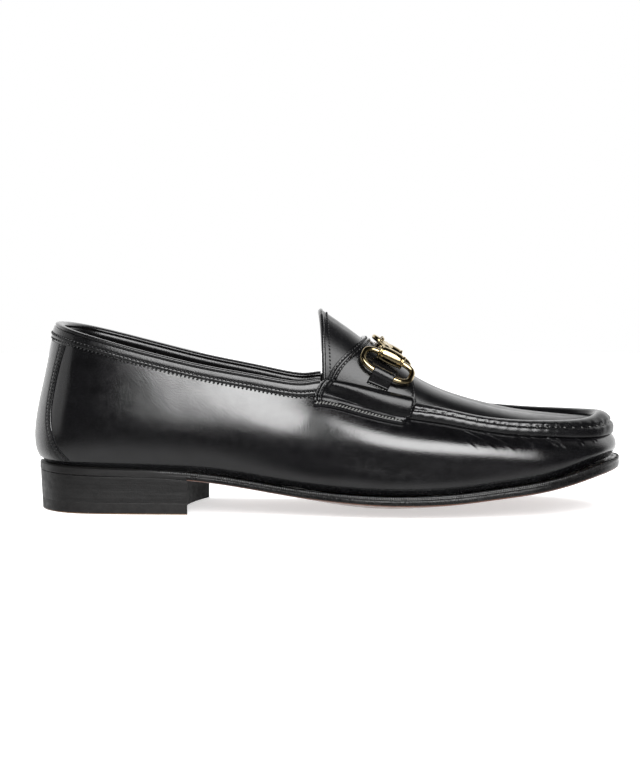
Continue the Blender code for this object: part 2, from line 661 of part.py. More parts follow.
def add_bar(side, name, bed, link_centre, slope, across, up):
    """Barrel turned round the ring's inner bar, with an arm that ends in an eye through the link."""
    hole = RING_WIRE + GAP * 2.5
    axis = bed.along
    centre = bed.point(0, -RING_WIDTH / 2, 0)
    profile = (
        (-1.0, hole), (-1.0, BARREL_WAIST), (-0.86, BARREL_RADIUS), (-0.5, BARREL_WAIST), (0.0, BARREL_RADIUS),
        (0.5, BARREL_WAIST), (0.86, BARREL_RADIUS), (1.0, BARREL_WAIST), (1.0, hole),
    )
    sides = 12
    loops = []
    for k in range(sides):
        angle = 2 * pi * k / sides
        way = bed.across * cos(angle) + bed.up * sin(angle)
        loops.append([centre + axis * a * BARREL_LENGTH / 2 + way * r for a, r in profile])
    loops.append(loops[0])
    barrel = add_tube("bar_" + name, loops, PALE_GOLD, capped=False)
    eye_centre = link_centre + across * side * (LINK_LENGTH / 2)
    start = centre - bed.across * (hole + BARREL_RADIUS) / 2
    end = eye_centre + across * side * EYE_RADIUS
    ahead = end - start
    first = np.cross(ahead, axis)
    first /= np.linalg.norm(first)
    second = np.cross(ahead, first)
    second /= np.linalg.norm(second)
    path = [start, start + ahead * 0.35, end]
    arm = add_tube(
        "arm_" + name,
        sweep(path, [(first, second)] * 3, [ARM_RADIUS, ARM_RADIUS * 0.9, ARM_RADIUS * 0.75], 8, False),
        PALE_GOLD,
    )
    eye = add_tube(
        "eye_" + name,
        ring_loops(eye_centre, EYE_RADIUS * 2, EYE_RADIUS * 2, ARM_RADIUS * 0.6, 2, 2, 12, 6, slope, across, up),
        PALE_GOLD,
        capped=False,
    )
    for other in (arm, eye):
        join = barrel.modifiers.new("Join", "BOOLEAN")
        join.operation = "UNION"
        join.solver = "EXACT"
        join.object = other
        loafer.objects.unlink(other)
        helpers.objects.link(other)
        other.hide_render = True
        other.display_type = "WIRE"


def add_tab(name, bed):
    """Leather loop over the ring's outer bar, its tail laid on the strap."""
    inner = RING_WIRE + GAP * 2
    outer = inner + TAB_THICKNESS
    middle = RING_WIDTH / 2
    end = middle + outer + TAB_TAIL
    loops = []
    for share in (-1, -0.5, 0, 0.5, 1):
        wide = TAB_WIDTH / 2 * share

        def above(across, lift):
            return (across, bed.floor(wide, across) + GAP * 2 + lift)

        points = [above(end, 0), above(end, TAB_THICKNESS), above(middle + outer, TAB_THICKNESS)]
        for degrees in (5, 40, 75, 110, 145, 180):
            points.append((middle + outer * cos(radians(degrees)), outer * sin(radians(degrees))))
        for degrees in (180, 140, 100, 60, 20, -20):
            points.append((middle + inner * cos(radians(degrees)), inner * sin(radians(degrees))))
        points.append(above(middle + inner, 0))
        loops.append([bed.point(wide, a, u) for a, u in points])
    add_tube("tab_" + name, loops, BLACK_STRAP)


helpers = bpy.data.collections.new("helpers")
bpy.context.scene.collection.children.link(helpers)
helpers.hide_render = True

add_outsole()
add_heel("heel_stack", lambda x: LIFT_THICKNESS + GAP, lambda x: under(x, 0.0) - GAP, 0.0002, HEEL_LEATHER, HEEL_TAPER * 0.7)
add_heel("top_lift", lambda x: 0.0, lambda x: LIFT_THICKNESS, 0.0002 + HEEL_TAPER * 0.7, LIFT_RUBBER, HEEL_TAPER * 0.3)
add_insole()
add_upper()
add_binding()
add_backstay()
add_strap()
add_bit()
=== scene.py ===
"""Bit loafer, right shoe: its looks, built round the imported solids.

Metres. +X to the toe, +Y to the inner side, +Z up.
"""

import json
from functools import lru_cache
from math import cos, pi, radians, sin

import bmesh
import bpy
import numpy as np
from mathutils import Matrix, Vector

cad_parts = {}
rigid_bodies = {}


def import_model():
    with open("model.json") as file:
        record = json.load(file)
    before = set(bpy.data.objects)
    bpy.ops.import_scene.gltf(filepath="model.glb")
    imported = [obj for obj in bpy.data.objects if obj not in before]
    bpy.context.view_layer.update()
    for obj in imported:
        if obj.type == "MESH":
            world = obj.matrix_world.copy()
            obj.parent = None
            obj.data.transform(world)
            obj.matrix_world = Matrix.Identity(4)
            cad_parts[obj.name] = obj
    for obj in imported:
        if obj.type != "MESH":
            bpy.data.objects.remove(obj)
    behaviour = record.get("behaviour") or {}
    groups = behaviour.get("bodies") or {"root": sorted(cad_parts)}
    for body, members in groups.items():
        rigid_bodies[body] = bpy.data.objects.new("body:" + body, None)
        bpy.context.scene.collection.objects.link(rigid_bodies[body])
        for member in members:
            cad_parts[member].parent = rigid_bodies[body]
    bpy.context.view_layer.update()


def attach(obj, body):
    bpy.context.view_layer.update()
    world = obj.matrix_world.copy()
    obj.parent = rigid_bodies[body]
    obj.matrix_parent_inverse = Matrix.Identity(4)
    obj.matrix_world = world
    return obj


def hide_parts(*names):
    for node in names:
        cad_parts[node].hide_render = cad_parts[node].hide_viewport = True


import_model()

# Driving sizes
SHOE_LENGTH = 0.303  # back of the upper to the tip of the sole
BALL_WIDTH = 0.103  # sole over its widest part
INSTEP_HEIGHT = 0.1032  # floor to the peak of the tongue
HEEL_HEIGHT = 0.020  # floor to the underside of the sole at the back
HEEL_SET = 0.0423  # back of the upper to the middle of the heel
SOLE_THICKNESS = 0.0054  # sole edge at the ball
SOLE_CURVE = 0.0070  # how far the middle of the sole lies below its edge at the ball
UPPER_WALL = 0.0020
GAP = 0.0003  # between pieces
SKIN_GAP = 0.0005  # between the upper and a leather laid on it
STRAP_THICKNESS = 0.0014
BACKSTAY_THICKNESS = 0.0011
BINDING_THICKNESS = 0.0009
INSOLE_THICKNESS = 0.0020
INSOLE_INSET = 0.0036  # upper's lower edge to the insole's edge
LIFT_THICKNESS = 0.0058  # top lift
HEEL_TAPER = 0.0010  # how far the heel draws in at the floor
BREAST_SHARE = 0.2595  # place of the heel breast, as a share of the length
BREAST_SKEW = 0.0035  # how much further forward the inner corner stands
BREAST_HOLLOW = 0.0064  # depth of the breast's curve
FEATHER_TUCK = 0.0012  # the upper's lower edge, in from the sole ledge
FEATHER_RISE = 0.0032  # height over which the upper turns out above the sole
FEATHER_OUT = 0.0009  # how far it has turned out there
ROLL_INSIDE = 0.0038  # width of the seam's roll on the apron side
ROLL_FALL = 0.0027  # height of the roll above the apron
BINDING_INSIDE = 0.0042  # depth of the collar band inside
RING_LENGTH = 0.0265  # the bit's oval ring, between the middles of its wire
RING_WIDTH = 0.0128
RING_WIRE = 0.0015
RING_LIFT = 0.0031  # middle of the wire above the strap
BARREL_LENGTH = 0.0125
BARREL_RADIUS = 0.0033
BARREL_WAIST = 0.0029
LINK_LENGTH = 0.0128
LINK_WIDTH = 0.0078
LINK_WIRE = 0.00105
ARM_RADIUS = 0.0015
TAB_WIDTH = 0.0112
TAB_THICKNESS = 0.0012
TAB_TAIL = 0.0010
RING_RIB = 11.62  # rib at the middle of each ring
RING_PLACE = 3.36  # place of the rings up the upper, between the seam and the middle line

# Sole edge at each rib, from the back of the heel to the tip: outer x and half width, inner x and half width,
# ledge. x is a share of SHOE_LENGTH from the back; widths are shares of BALL_WIDTH
OUTLINE = (
    (0.0102, 0.000, 0.0102, 0.000, 0.0097),
    (0.0172, 0.102, 0.0172, 0.102, 0.0097),
    (0.0356, 0.194, 0.0356, 0.194, 0.0107),
    (0.0670, 0.268, 0.0670, 0.268, 0.0126),
    (0.1125, 0.303, 0.1125, 0.305, 0.0165),
    (0.1743, 0.318, 0.1743, 0.322, 0.0194),
    (0.2403, 0.326, 0.2403, 0.330, 0.0252),
    (0.3063, 0.338, 0.2997, 0.320, 0.0330),
    (0.3921, 0.369, 0.3789, 0.289, 0.0369),
    (0.4581, 0.408, 0.4581, 0.289, 0.0388),
    (0.5208, 0.447, 0.5307, 0.335, 0.0398),
    (0.5868, 0.476, 0.5967, 0.413, 0.0408),
    (0.6528, 0.490, 0.6627, 0.485, 0.0408),
    (0.7155, 0.485, 0.7221, 0.510, 0.0408),
    (0.7815, 0.458, 0.7881, 0.485, 0.0408),
    (0.8492, 0.421, 0.8525, 0.433, 0.0398),
    (0.8838, 0.386, 0.8871, 0.392, 0.0388),
    (0.9185, 0.334, 0.9218, 0.334, 0.0388),
    (0.9548, 0.254, 0.9564, 0.252, 0.0369),
    (0.9789, 0.177, 0.9789, 0.179, 0.0340),
    (0.9950, 0.089, 0.9950, 0.089, 0.0311),
    (1.0000, 0.000, 1.0000, 0.000, 0.0301),
)

# Upper at the same ribs: top x, outer half width and height, inner half width and height, fullest line out from
# the sole edge and its share of the wall's height, fullness above it, how much of the seam's roll there is, the
# roll's width outside and its depth. Heights and the roll's depth are shares of INSTEP_HEIGHT.
WALL = (
    (0.0436, 0.000, 0.9167, 0.000, 0.9167, 0.0155, 0.26, 0.0029, 0.00, 0.0214, 0.0581),
    (0.0475, 0.092, 0.9118, 0.092, 0.9138, 0.0155, 0.26, 0.0029, 0.00, 0.0223, 0.0581),
    (0.0601, 0.173, 0.9012, 0.173, 0.9060, 0.0165, 0.26, 0.0029, 0.00, 0.0194, 0.0581),
    (0.0828, 0.241, 0.8818, 0.241, 0.8905, 0.0184, 0.27, 0.0029, 0.00, 0.0155, 0.0581),
    (0.1182, 0.282, 0.8527, 0.282, 0.8643, 0.0204, 0.28, 0.0029, 0.00, 0.0117, 0.0581),
    (0.1743, 0.298, 0.8062, 0.298, 0.8217, 0.0194, 0.29, 0.0039, 0.00, 0.0087, 0.0581),
    (0.2403, 0.301, 0.7568, 0.301, 0.7713, 0.0136, 0.30, 0.0058, 0.00, 0.0078, 0.0581),
    (0.3063, 0.298, 0.7132, 0.298, 0.7258, 0.0039, 0.30, 0.0097, 0.00, 0.0078, 0.0581),
    (0.3855, 0.291, 0.6705, 0.287, 0.6793, -0.0078, 0.30, 0.0194, 0.00, 0.0087, 0.0581),
    (0.4548, 0.282, 0.6386, 0.278, 0.6424, -0.0175, 0.30, 0.0291, 0.00, 0.0117, 0.0581),
    (0.4960, 0.272, 0.6492, 0.268, 0.6512, -0.0214, 0.30, 0.0388, 0.35, 0.0194, 0.0678),
    (0.5571, 0.286, 0.6124, 0.282, 0.6163, -0.0233, 0.30, 0.0485, 0.80, 0.0388, 0.0795),
    (0.6231, 0.301, 0.5640, 0.301, 0.5717, -0.0233, 0.30, 0.0534, 1.00, 0.0485, 0.0795),
    (0.6891, 0.306, 0.5223, 0.316, 0.5349, -0.0233, 0.30, 0.0524, 1.00, 0.0485, 0.0678),
    (0.7551, 0.296, 0.4797, 0.311, 0.4990, -0.0223, 0.32, 0.0447, 1.00, 0.0505, 0.0620),
    (0.8178, 0.270, 0.4583, 0.282, 0.4826, -0.0204, 0.36, 0.0330, 1.00, 0.0524, 0.0659),
    (0.8574, 0.247, 0.4535, 0.258, 0.4767, -0.0194, 0.38, 0.0252, 1.00, 0.0544, 0.0717),
    (0.8970, 0.206, 0.4506, 0.214, 0.4758, -0.0184, 0.40, 0.0194, 1.00, 0.0563, 0.0795),
    (0.9317, 0.150, 0.4535, 0.153, 0.4767, -0.0175, 0.42, 0.0136, 1.00, 0.0583, 0.0872),
    (0.9515, 0.095, 0.4632, 0.097, 0.4787, -0.0165, 0.44, 0.0097, 1.00, 0.0592, 0.0950),
    (0.9627, 0.047, 0.4748, 0.048, 0.4797, -0.0165, 0.45, 0.0078, 1.00, 0.0602, 0.1017),
    (0.9660, 0.000, 0.4797, 0.000, 0.4797, -0.0165, 0.45, 0.0078, 1.00, 0.0602, 0.1047),
)

# Middle line from the tongue's peak over the apron, one row for each rib from the throat on: x, height,
# roundness, how much of the roll stands over the apron
CREST = (
    (0.4908, 0.9922, 0.95, 0.25),
    (0.5472, 0.8740, 0.93, 0.25),
    (0.6017, 0.7452, 0.88, 0.45),
    (0.6561, 0.6337, 0.80, 1.00),
    (0.7089, 0.5630, 0.70, 1.00),
    (0.7584, 0.5165, 0.55, 1.00),
    (0.7947, 0.4913, 0.45, 1.00),
    (0.8244, 0.4777, 0.35, 1.00),
    (0.8492, 0.4680, 0.30, 1.00),
    (0.8673, 0.4622, 0.30, 1.00),
    (0.8822, 0.4583, 0.30, 1.00),
    (0.8937, 0.4545, 0.30, 1.00),
)

# Sole from the side: x, underside of the edge as a share of HEEL_HEIGHT, thickness as a share of
# SOLE_THICKNESS, curve across as a share of SOLE_CURVE
SOLE_SIDE = (
    (0.0000, 1.010, 0.796, 0.000),
    (0.1413, 0.950, 0.778, 0.000),
    (0.2690, 0.865, 0.741, 0.000),
    (0.3261, 0.775, 0.741, 0.160),
    (0.3908, 0.628, 0.741, 0.349),
    (0.4568, 0.485, 0.760, 0.600),
    (0.5221, 0.385, 0.815, 0.850),
    (0.5868, 0.322, 0.890, 1.000),
    (0.6512, 0.322, 0.926, 1.000),
    (0.7155, 0.372, 0.945, 0.900),
    (0.7815, 0.478, 0.965, 0.700),
    (0.8492, 0.605, 0.990, 0.480),
    (0.9185, 0.810, 1.019, 0.270),
    (0.9548, 0.940, 1.056, 0.159),
    (1.0000, 1.070, 1.111, 0.063),
)

# The seam's roll across, from its foot on the wall to its top: share of the width outside, share of the depth
ROLL = ((1.00, 1.00), (1.12, 0.78), (1.05, 0.46), (0.64, 0.13), (0.00, 0.00))

# Saddle strap from the edge of its wing to the middle: place up the upper, ribs of its back and its front edge
STRAP = (
    (0.870, 9.58, 11.98),
    (0.930, 9.59, 12.10),
    (1.000, 9.61, 12.20),
    (1.250, 9.67, 12.27),
    (1.500, 9.74, 12.32),
    (1.750, 9.83, 12.36),
    (2.000, 9.94, 12.38),
    (2.500, 10.06, 12.38),
    (3.000, 10.06, 12.38),
    (3.167, 10.30, 12.38),
    (3.333, 10.60, 12.40),
    (3.500, 10.85, 12.42),
    (3.667, 11.04, 12.45),
    (3.833, 11.17, 12.48),
    (4.000, 11.24, 12.50),
)

# Backstay: place up the upper, rib of its edge
BACKSTAY = ((0.05, 3.10), (0.16, 2.72), (0.30, 2.36), (0.46, 2.18), (0.62, 2.16), (0.80, 2.26), (0.975, 2.48))

RIBS = len(OUTLINE) - 1
THROAT = RIBS - len(CREST) + 1


def curve(knots, rows):
    """A natural cubic through the rows, one row to a knot."""
    t, y = np.asarray(knots, float), np.asarray(rows, float)
    h = np.diff(t)
    system = np.eye(len(t))
    right = np.zeros_like(y)
    for i in range(1, len(t) - 1):
        system[i, i - 1 : i + 2] = h[i - 1], 2 * (h[i - 1] + h[i]), h[i]
        right[i] = 6 * ((y[i + 1] - y[i]) / h[i] - (y[i] - y[i - 1]) / h[i - 1])
    bend = np.linalg.solve(system, right)

    def at(x):
        i = min(max(int(np.searchsorted(t, x)) - 1, 0), len(h) - 1)
        a, b = t[i + 1] - x, x - t[i]
        ends = (y[i] / h[i] - bend[i] * h[i] / 6) * a + (y[i + 1] / h[i] - bend[i + 1] * h[i] / 6) * b
        return (bend[i] * a**3 + bend[i + 1] * b**3) / (6 * h[i]) + ends

    return at


def around(outer, inner):
    """A closed curve over the ribs: outer ribs are negative, inner ones positive, and both tips join."""
    outer, inner = np.asarray(outer, float), np.asarray(inner, float)
    once = np.concatenate([outer[::-1], inner[1:-1]])
    count = len(once)
    knots = np.arange(-RIBS - 4, RIBS + 5)
    return curve(knots, [once[(k + RIBS) % count] for k in knots])


def place(share):
    return share * SHOE_LENGTH - HEEL_SET


outline = np.array(OUTLINE)
wall = np.array(WALL)
edge_of = around(
    np.column_stack([place(outline[:, 0]), -outline[:, 1] * BALL_WIDTH, outline[:, 4] * BALL_WIDTH]),
    np.column_stack([place(outline[:, 2]), outline[:, 3] * BALL_WIDTH, outline[:, 4] * BALL_WIDTH]),
)
shape = np.column_stack(
    [
        wall[:, 5] * BALL_WIDTH,
        wall[:, 6],
        wall[:, 7] * BALL_WIDTH,
        wall[:, 8],
        wall[:, 9] * BALL_WIDTH,
        wall[:, 10] * INSTEP_HEIGHT,
    ]
)
top_of = around(
    np.column_stack([place(wall[:, 0]), -wall[:, 1] * BALL_WIDTH, wall[:, 2] * INSTEP_HEIGHT, shape]),
    np.column_stack([place(wall[:, 0]), wall[:, 3] * BALL_WIDTH, wall[:, 4] * INSTEP_HEIGHT, shape]),
)
top_of = lru_cache(maxsize=None)(top_of)
edge_of = lru_cache(maxsize=None)(edge_of)
crest = np.array(CREST)
crest_of = curve(
    range(THROAT, RIBS + 1),
    np.column_stack([place(crest[:, 0]), crest[:, 1] * INSTEP_HEIGHT, crest[:, 2:]]),
)
sole_side = np.array(SOLE_SIDE)
sole_of = curve(
    place(sole_side[:, 0]),
    sole_side[:, 1:] * (HEEL_HEIGHT, SOLE_THICKNESS, SOLE_CURVE),
)


def under(x, across=1.0):
    """Height of the sole's underside, flat where it meets the floor."""
    rise, _, dip = sole_of(x)
    return max(0.0, rise - dip * (1 - abs(across) ** 1.3))


def over(x, across=1.0):
    return under(x, across) + sole_of(x)[1]


@lru_cache(maxsize=None)
def outward(rib):
    """Unit vector in plan, away from the shoe at the sole edge."""
    dx, dy = (edge_of(rib + 0.05) - edge_of(rib - 0.05))[:2]
    return np.array([-dy, dx]) / np.hypot(dx, dy)


def edge_point(rib, inset=0.0):
    return edge_of(rib)[:2] - outward(rib) * inset


def roll_point(rib, out, depth):
    """A point of the roll beside the top of the seam."""
    x, y, z = top_of(rib)[:3]
    return np.array([*(np.array([x, y]) + outward(rib) * out), z - depth])


def wall_points(rib):
    """The wall's section: lower edge, turn, fullest point, upper wall, foot of the roll."""
    full, full_up, upper_full, _, roll_out, roll_depth = top_of(rib)[3:]
    ledge = edge_of(rib)[2]
    x, y = edge_point(rib, ledge + FEATHER_TUCK)
    low = over(edge_of(rib)[0]) + GAP
    foot = roll_point(rib, roll_out, roll_depth)
    tall = foot[2] - low
    turn = np.array([*edge_point(rib, ledge - FEATHER_OUT), low + FEATHER_RISE])
    belly = np.array([*edge_point(rib, -full), low + full_up * tall])
    between = (belly + foot) / 2 + np.array([*(outward(rib) * upper_full), 0.0])
    return [np.array([x, y, low]), turn, belly, between, foot]


def run_along(points):
    """Distance run along a line of points, from its first one."""
    return np.concatenate([[0], np.cumsum(np.linalg.norm(np.diff(points, axis=0), axis=1))])


def index_at(run, at):
    """Place between the points of a line, at a distance along it."""
    return float(np.interp(at, run, np.arange(len(run))))


def pace(line, rib):
    """Distance in plan that a line covers in one rib."""
    near = 0.02
    return max(np.linalg.norm(line(rib + near)[:2] - line(rib - near)[:2]) / (2 * near), 0.004)


def paced(line, start, step):
    """Ribs from a start to the toe, evenly spaced along a line."""
    steps, rib = [], start
    while rib < RIBS:
        steps.append(rib)
        rib += step / pace(line, rib)
    return steps


@lru_cache(maxsize=None)
def wall_curve(rib):
    points = wall_points(rib)
    along = run_along(points)
    return curve(along, points), along[-1]


def skin(rib, up):
    """A point of the upper's outside.

    up: 0 lower edge, 1 foot of the roll, 2 seam, 3 apron's edge, 4 middle line.
    """
    if up <= 1:
        at, tall = wall_curve(rib)
        return at(up * tall)
    roll, roll_out, roll_depth = top_of(rib)[6:]
    if up <= 2:
        at = (up - 1) * (len(ROLL) - 1)
        i = min(int(at), len(ROLL) - 2)
        out, depth = np.array(ROLL[i]) + (np.array(ROLL[i + 1]) - np.array(ROLL[i])) * (at - i)
        out, depth = out * roll + (2 - up) * (1 - roll), depth * roll + (2 - up) * (1 - roll)
        return roll_point(rib, roll_out * out, roll_depth * depth)
    x, z, round_share, inner_roll = crest_of(abs(rib))
    inside = roll_point(rib, -ROLL_INSIDE * inner_roll, ROLL_FALL * inner_roll)
    if up <= 3:
        start = roll_point(rib, 0, 0)
        turn = roll_point(rib, -ROLL_INSIDE * inner_roll * 0.55, ROLL_FALL * inner_roll * 0.28)
        if up < 2.5:
            return start + (turn - start) * (up - 2) * 2
        return turn + (inside - turn) * (up - 2.5) * 2
    at = up - 3
    across = round_share * (1 - cos(at * pi / 2)) + (1 - round_share) * at
    rise = round_share * sin(at * pi / 2) + (1 - round_share) * at * (2 - at)
    plan = inside[:2] + (np.array([x, 0.0]) - inside[:2]) * across
    return np.array([*plan, inside[2] + (z - inside[2]) * rise])


def unit(vector):
    return vector / np.linalg.norm(vector)


def skin_normal(rib, up):
    """Away from the upper's outside, halfway between the faces on both sides of a fold.

    It is longer where the fold is sharp.
    """
    side, step = 0.12, 0.02
    sign = 1 if rib > 0 else -1
    near, far = abs(rib) - side, min(RIBS, abs(rib) + side)
    if up < 2:
        along = skin(rib + side, up) - skin(rib - side, up)
    else:
        along = (skin(sign * far, up) - skin(sign * max(THROAT, near), up)) * sign
    here = skin(rib, up)
    above = unit(skin(rib, up + step) - here) if up < 4 else np.array([0.0, -sign, 0.0])
    below = unit(here - skin(rib, up - step)) if 0 < up < 4 else above
    half = np.sqrt(max(0.06, (1 + below.dot(above)) / 2))
    return unit(np.cross(below + above, along)) / half


def lifted(rib, up, lift):
    return skin(rib, up) + skin_normal(rib, up) * lift


def across_line(rib, inset, shares, height):
    """Points from the outer to the inner edge at one rib."""
    outer, inner = edge_point(-rib, inset), edge_point(rib, inset)
    points = []
    for share in shares:
        x, y = outer + (inner - outer) * (1 + share) / 2
        points.append((x, y, height(x, share)))
    return points


def grid(ribs, ups):
    """Points of the upper's outside: a row for each rib, a column for each place up."""
    return np.array([[skin(float(rib), float(up)) for up in ups] for rib in ribs])


def grid_normals(points, ring=False):
    """Normals of a grid whose rows follow the ribs and whose columns run up."""
    along = np.roll(points, -1, 0) - np.roll(points, 1, 0) if ring else np.gradient(points, axis=0)
    normals = np.cross(np.gradient(points, axis=1), along)
    size = np.linalg.norm(normals, axis=2, keepdims=True)
    return normals / np.maximum(size, 1e-12)


def facing(normals, row, column, axis, sign=1):
    """The normals, turned so that the one at a row and column points along an axis."""
    return normals if normals[row, column][axis] * sign > 0 else -normals


def softened(points, times, axes=(1, 0)):
    """The grid with its folds eased along its columns, its rows or both, its borders kept."""
    for _ in range(times):
        for axis in axes:
            turned = np.moveaxis(points, axis, 0).copy()
            turned[1:-1] = (turned[:-2] + 2 * turned[1:-1] + turned[2:]) / 4
            points = np.moveaxis(turned, 0, axis)
    return points


def lengths(points, axis):
    """Distance run along a grid from its first row or column."""
    steps = np.linalg.norm(np.diff(points, axis=axis), axis=2)
    run = np.cumsum(steps, axis=axis)
    start = np.zeros_like(np.take(run, [0], axis=axis))
    return np.concatenate([start, run], axis=axis)


def quads(rows, columns, ring_rows=False, ring_columns=False, start=0):
    i = np.arange(rows if ring_rows else rows - 1)[:, None]
    j = np.arange(columns if ring_columns else columns - 1)[None, :]
    a, b = i * columns, (i + 1) % rows * columns
    k = (j + 1) % columns
    return (start + np.stack([a + j, a + k, b + k, b + j], axis=2)).reshape(-1, 4).tolist()


def build(name, points, faces, looks, slot, nodes=(), which=None, sharp=50):
    """One piece from points and faces, welded, facing out and riding on the shoe."""
    mesh = bpy.data.meshes.new(name)
    mesh.from_pydata(np.asarray(points, float).reshape(-1, 3).tolist(), [], faces)
    for look in looks:
        mesh.materials.append(look)
    if which is not None:
        mesh.polygons.foreach_set("material_index", which)
    body = bmesh.new()
    body.from_mesh(mesh)
    bmesh.ops.remove_doubles(body, verts=body.verts, dist=2e-6)
    bmesh.ops.dissolve_degenerate(body, edges=body.edges, dist=1e-7)
    bmesh.ops.recalc_face_normals(body, faces=body.faces)
    body.to_mesh(mesh)
    body.free()
    mesh.shade_smooth()
    mesh.set_sharp_from_angle(angle=radians(sharp))
    made = bpy.data.objects.new(name, mesh)
    bpy.context.scene.collection.objects.link(made)
    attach(made, "root")
    if nodes:
        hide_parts(*nodes)


def add_shell(name, outer, inner, looks, slot, nodes=(), sharp=50):
    """A leather sheet between two grids."""
    loops = np.concatenate([outer, inner[:, ::-1]], axis=1)
    rows, columns = loops.shape[:2]
    faces = quads(rows, columns, ring_columns=True)
    for first in (0, (rows - 1) * columns):
        last = first + columns - 1
        faces += [[first + j, first + j + 1, last - 1 - j, last - j] for j in range(outer.shape[1] - 1)]
    build(name, loops, faces, looks, slot, nodes, sharp=sharp)


def add_tube(name, loops, looks, slot, nodes=(), ring=False, sharp=50, which=None):
    """A body from closed loops of points."""
    loops = np.asarray(loops, float)
    rows, columns = loops.shape[:2]
    faces = quads(rows, columns, ring_rows=ring, ring_columns=True)
    if not ring:
        faces.append(list(range(columns)))
        faces.append([(rows - 1) * columns + i for i in range(columns)])
    build(name, loops, faces, looks, slot, nodes, which=which, sharp=sharp)


class Sheet:
    """A grid with normals that can be read between its points, in rows and columns."""

    def __init__(self, points, normals):
        self.points, self.normals = points, normals

    def at(self, row, column):
        rows, columns = self.points.shape[:2]
        i = min(max(int(row), 0), rows - 2)
        j = min(max(int(column), 0), columns - 2)
        a, b = row - i, column - j
        shares = ((1 - a) * (1 - b), a * (1 - b), (1 - a) * b, a * b)
        spots = ((i, j), (i + 1, j), (i, j + 1), (i + 1, j + 1))
        point = sum(s * self.points[spot] for s, spot in zip(shares, spots))
        normal = sum(s * self.normals[spot] for s, spot in zip(shares, spots))
        return point, unit(normal)

    def line(self, rows, columns):
        pairs = [self.at(row, column) for row, column in zip(rows, columns)]
        return np.array([p for p, _ in pairs]), np.array([n for _, n in pairs])


def ease(x):
    x = np.clip(x, 0.0, 1.0)
    return x * x * (3 - 2 * x)


def bell(x, width):
    return np.exp(-((x / width) ** 2))


def edge_drop(distance, radius, depth):
    """How far a cut edge rounds down, by the distance from it."""
    near = 1 - np.clip(distance / radius, 0, 1)
    return depth * (1 - np.sqrt(np.maximum(0.0, 1 - near**2)))


def hoop(centre, first, second, wide, high, sides):
    """Points round an ellipse."""
    angles = [2 * pi * k / sides for k in range(sides)]
    return [centre + first * cos(a) * wide + second * sin(a) * high for a in angles]


# A stitch along its length: place, share of the thread's radius
STITCH_ENDS = ((-1.0, 0.30), (-0.80, 0.78), (-0.35, 1.0), (0.35, 1.0), (0.80, 0.78), (1.0, 0.30))
THREAD_SIDES = 6
THREAD_FLAT = 0.8  # height of the thread as a share of its width

# Kinds of stitch: pitch, length, radius of the thread, slant in degrees, how far the ends sink in
SEAM_PITCH = 0.0054
SEAM_STITCH = (SEAM_PITCH, 0.0021, 0.00030, -35.0, 0.7)
COLLAR_STITCH = (0.0021, 0.00160, 0.00050, 36.0, 0.85)
COLLAR_EDGE_STITCH = (0.0021, 0.0013, 0.00044, 55.0, 0.85)
BACK_STITCH = (0.00190, 0.00125, 0.00036, 24.0, 0.8)
STRAP_STITCH = (0.0020, 0.00138, 0.00038, 22.0, 0.8)
STRAP_FRONT_STITCH = (0.0016, 0.0012, 0.00023, 0.0, 0.6)
HEM_STITCH = (0.0017, 0.0018, 0.00040, 58.0, 0.9)
TONGUE_STITCH = (0.0019, 0.00130, 0.00036, 20.0, 0.8)
SOCK_STITCH = (0.0030, 0.0022, 0.00025, 0.0, 0.6)
TAB_STITCH = (0.0015, 0.0011, 0.00022, 12.0, 0.8)


def stitch_bodies(points, normals, kind, way=1):
    """Thread showing between its holes along a line: points and faces."""
    pitch, length, radius, turn, sink = kind
    run = run_along(points)
    slant = radians(turn * way)
    rings = len(STITCH_ENDS)

    def read(values, at):
        return np.array([np.interp(at, run, values[:, k]) for k in range(3)])

    out, faces = [], []
    at = pitch / 2
    while at <= run[-1]:
        centre, normal = read(points, at), unit(read(normals, at))
        ahead = read(points, min(run[-1], at + pitch / 2)) - read(points, max(0, at - pitch / 2))
        ahead = unit(ahead - normal * ahead.dot(normal))
        side = np.cross(normal, ahead)
        ahead, side = ahead * cos(slant) + side * sin(slant), side * cos(slant) - ahead * sin(slant)
        base = len(out)
        for share, thick in STITCH_ENDS:
            rise = radius * (sink * (1 - share**2) * 1.6 - 0.55)
            middle = centre + ahead * share * length / 2 + normal * rise
            out += hoop(middle, side, normal * THREAD_FLAT, radius * thick, radius * thick, THREAD_SIDES)
        faces += quads(rings, THREAD_SIDES, ring_columns=True, start=base)
        faces.append([base + k for k in range(THREAD_SIDES)])
        faces.append([base + (rings - 1) * THREAD_SIDES + k for k in range(THREAD_SIDES)])
        at += pitch
    return out, faces


def sewn(sheet, rows, columns, lift, kind, way=1):
    """Stitches along a line of a sheet, lifted off it or sunk in."""
    points, normals = sheet.line(rows, columns)
    return stitch_bodies(points + normals * lift, normals, kind, way)


def add_stitches(name, runs, look, slot):
    """All rows of stitches of one kind as one piece."""
    points, faces = [], []
    for more, sides in runs:
        faces += [[len(points) + k for k in face] for face in sides]
        points += more
    build(name, points, faces, [look], slot, sharp=60)


for old in list(bpy.data.objects):
    if old.type in ("CAMERA", "LIGHT"):
        bpy.data.objects.remove(old, do_unlink=True)


# Materials


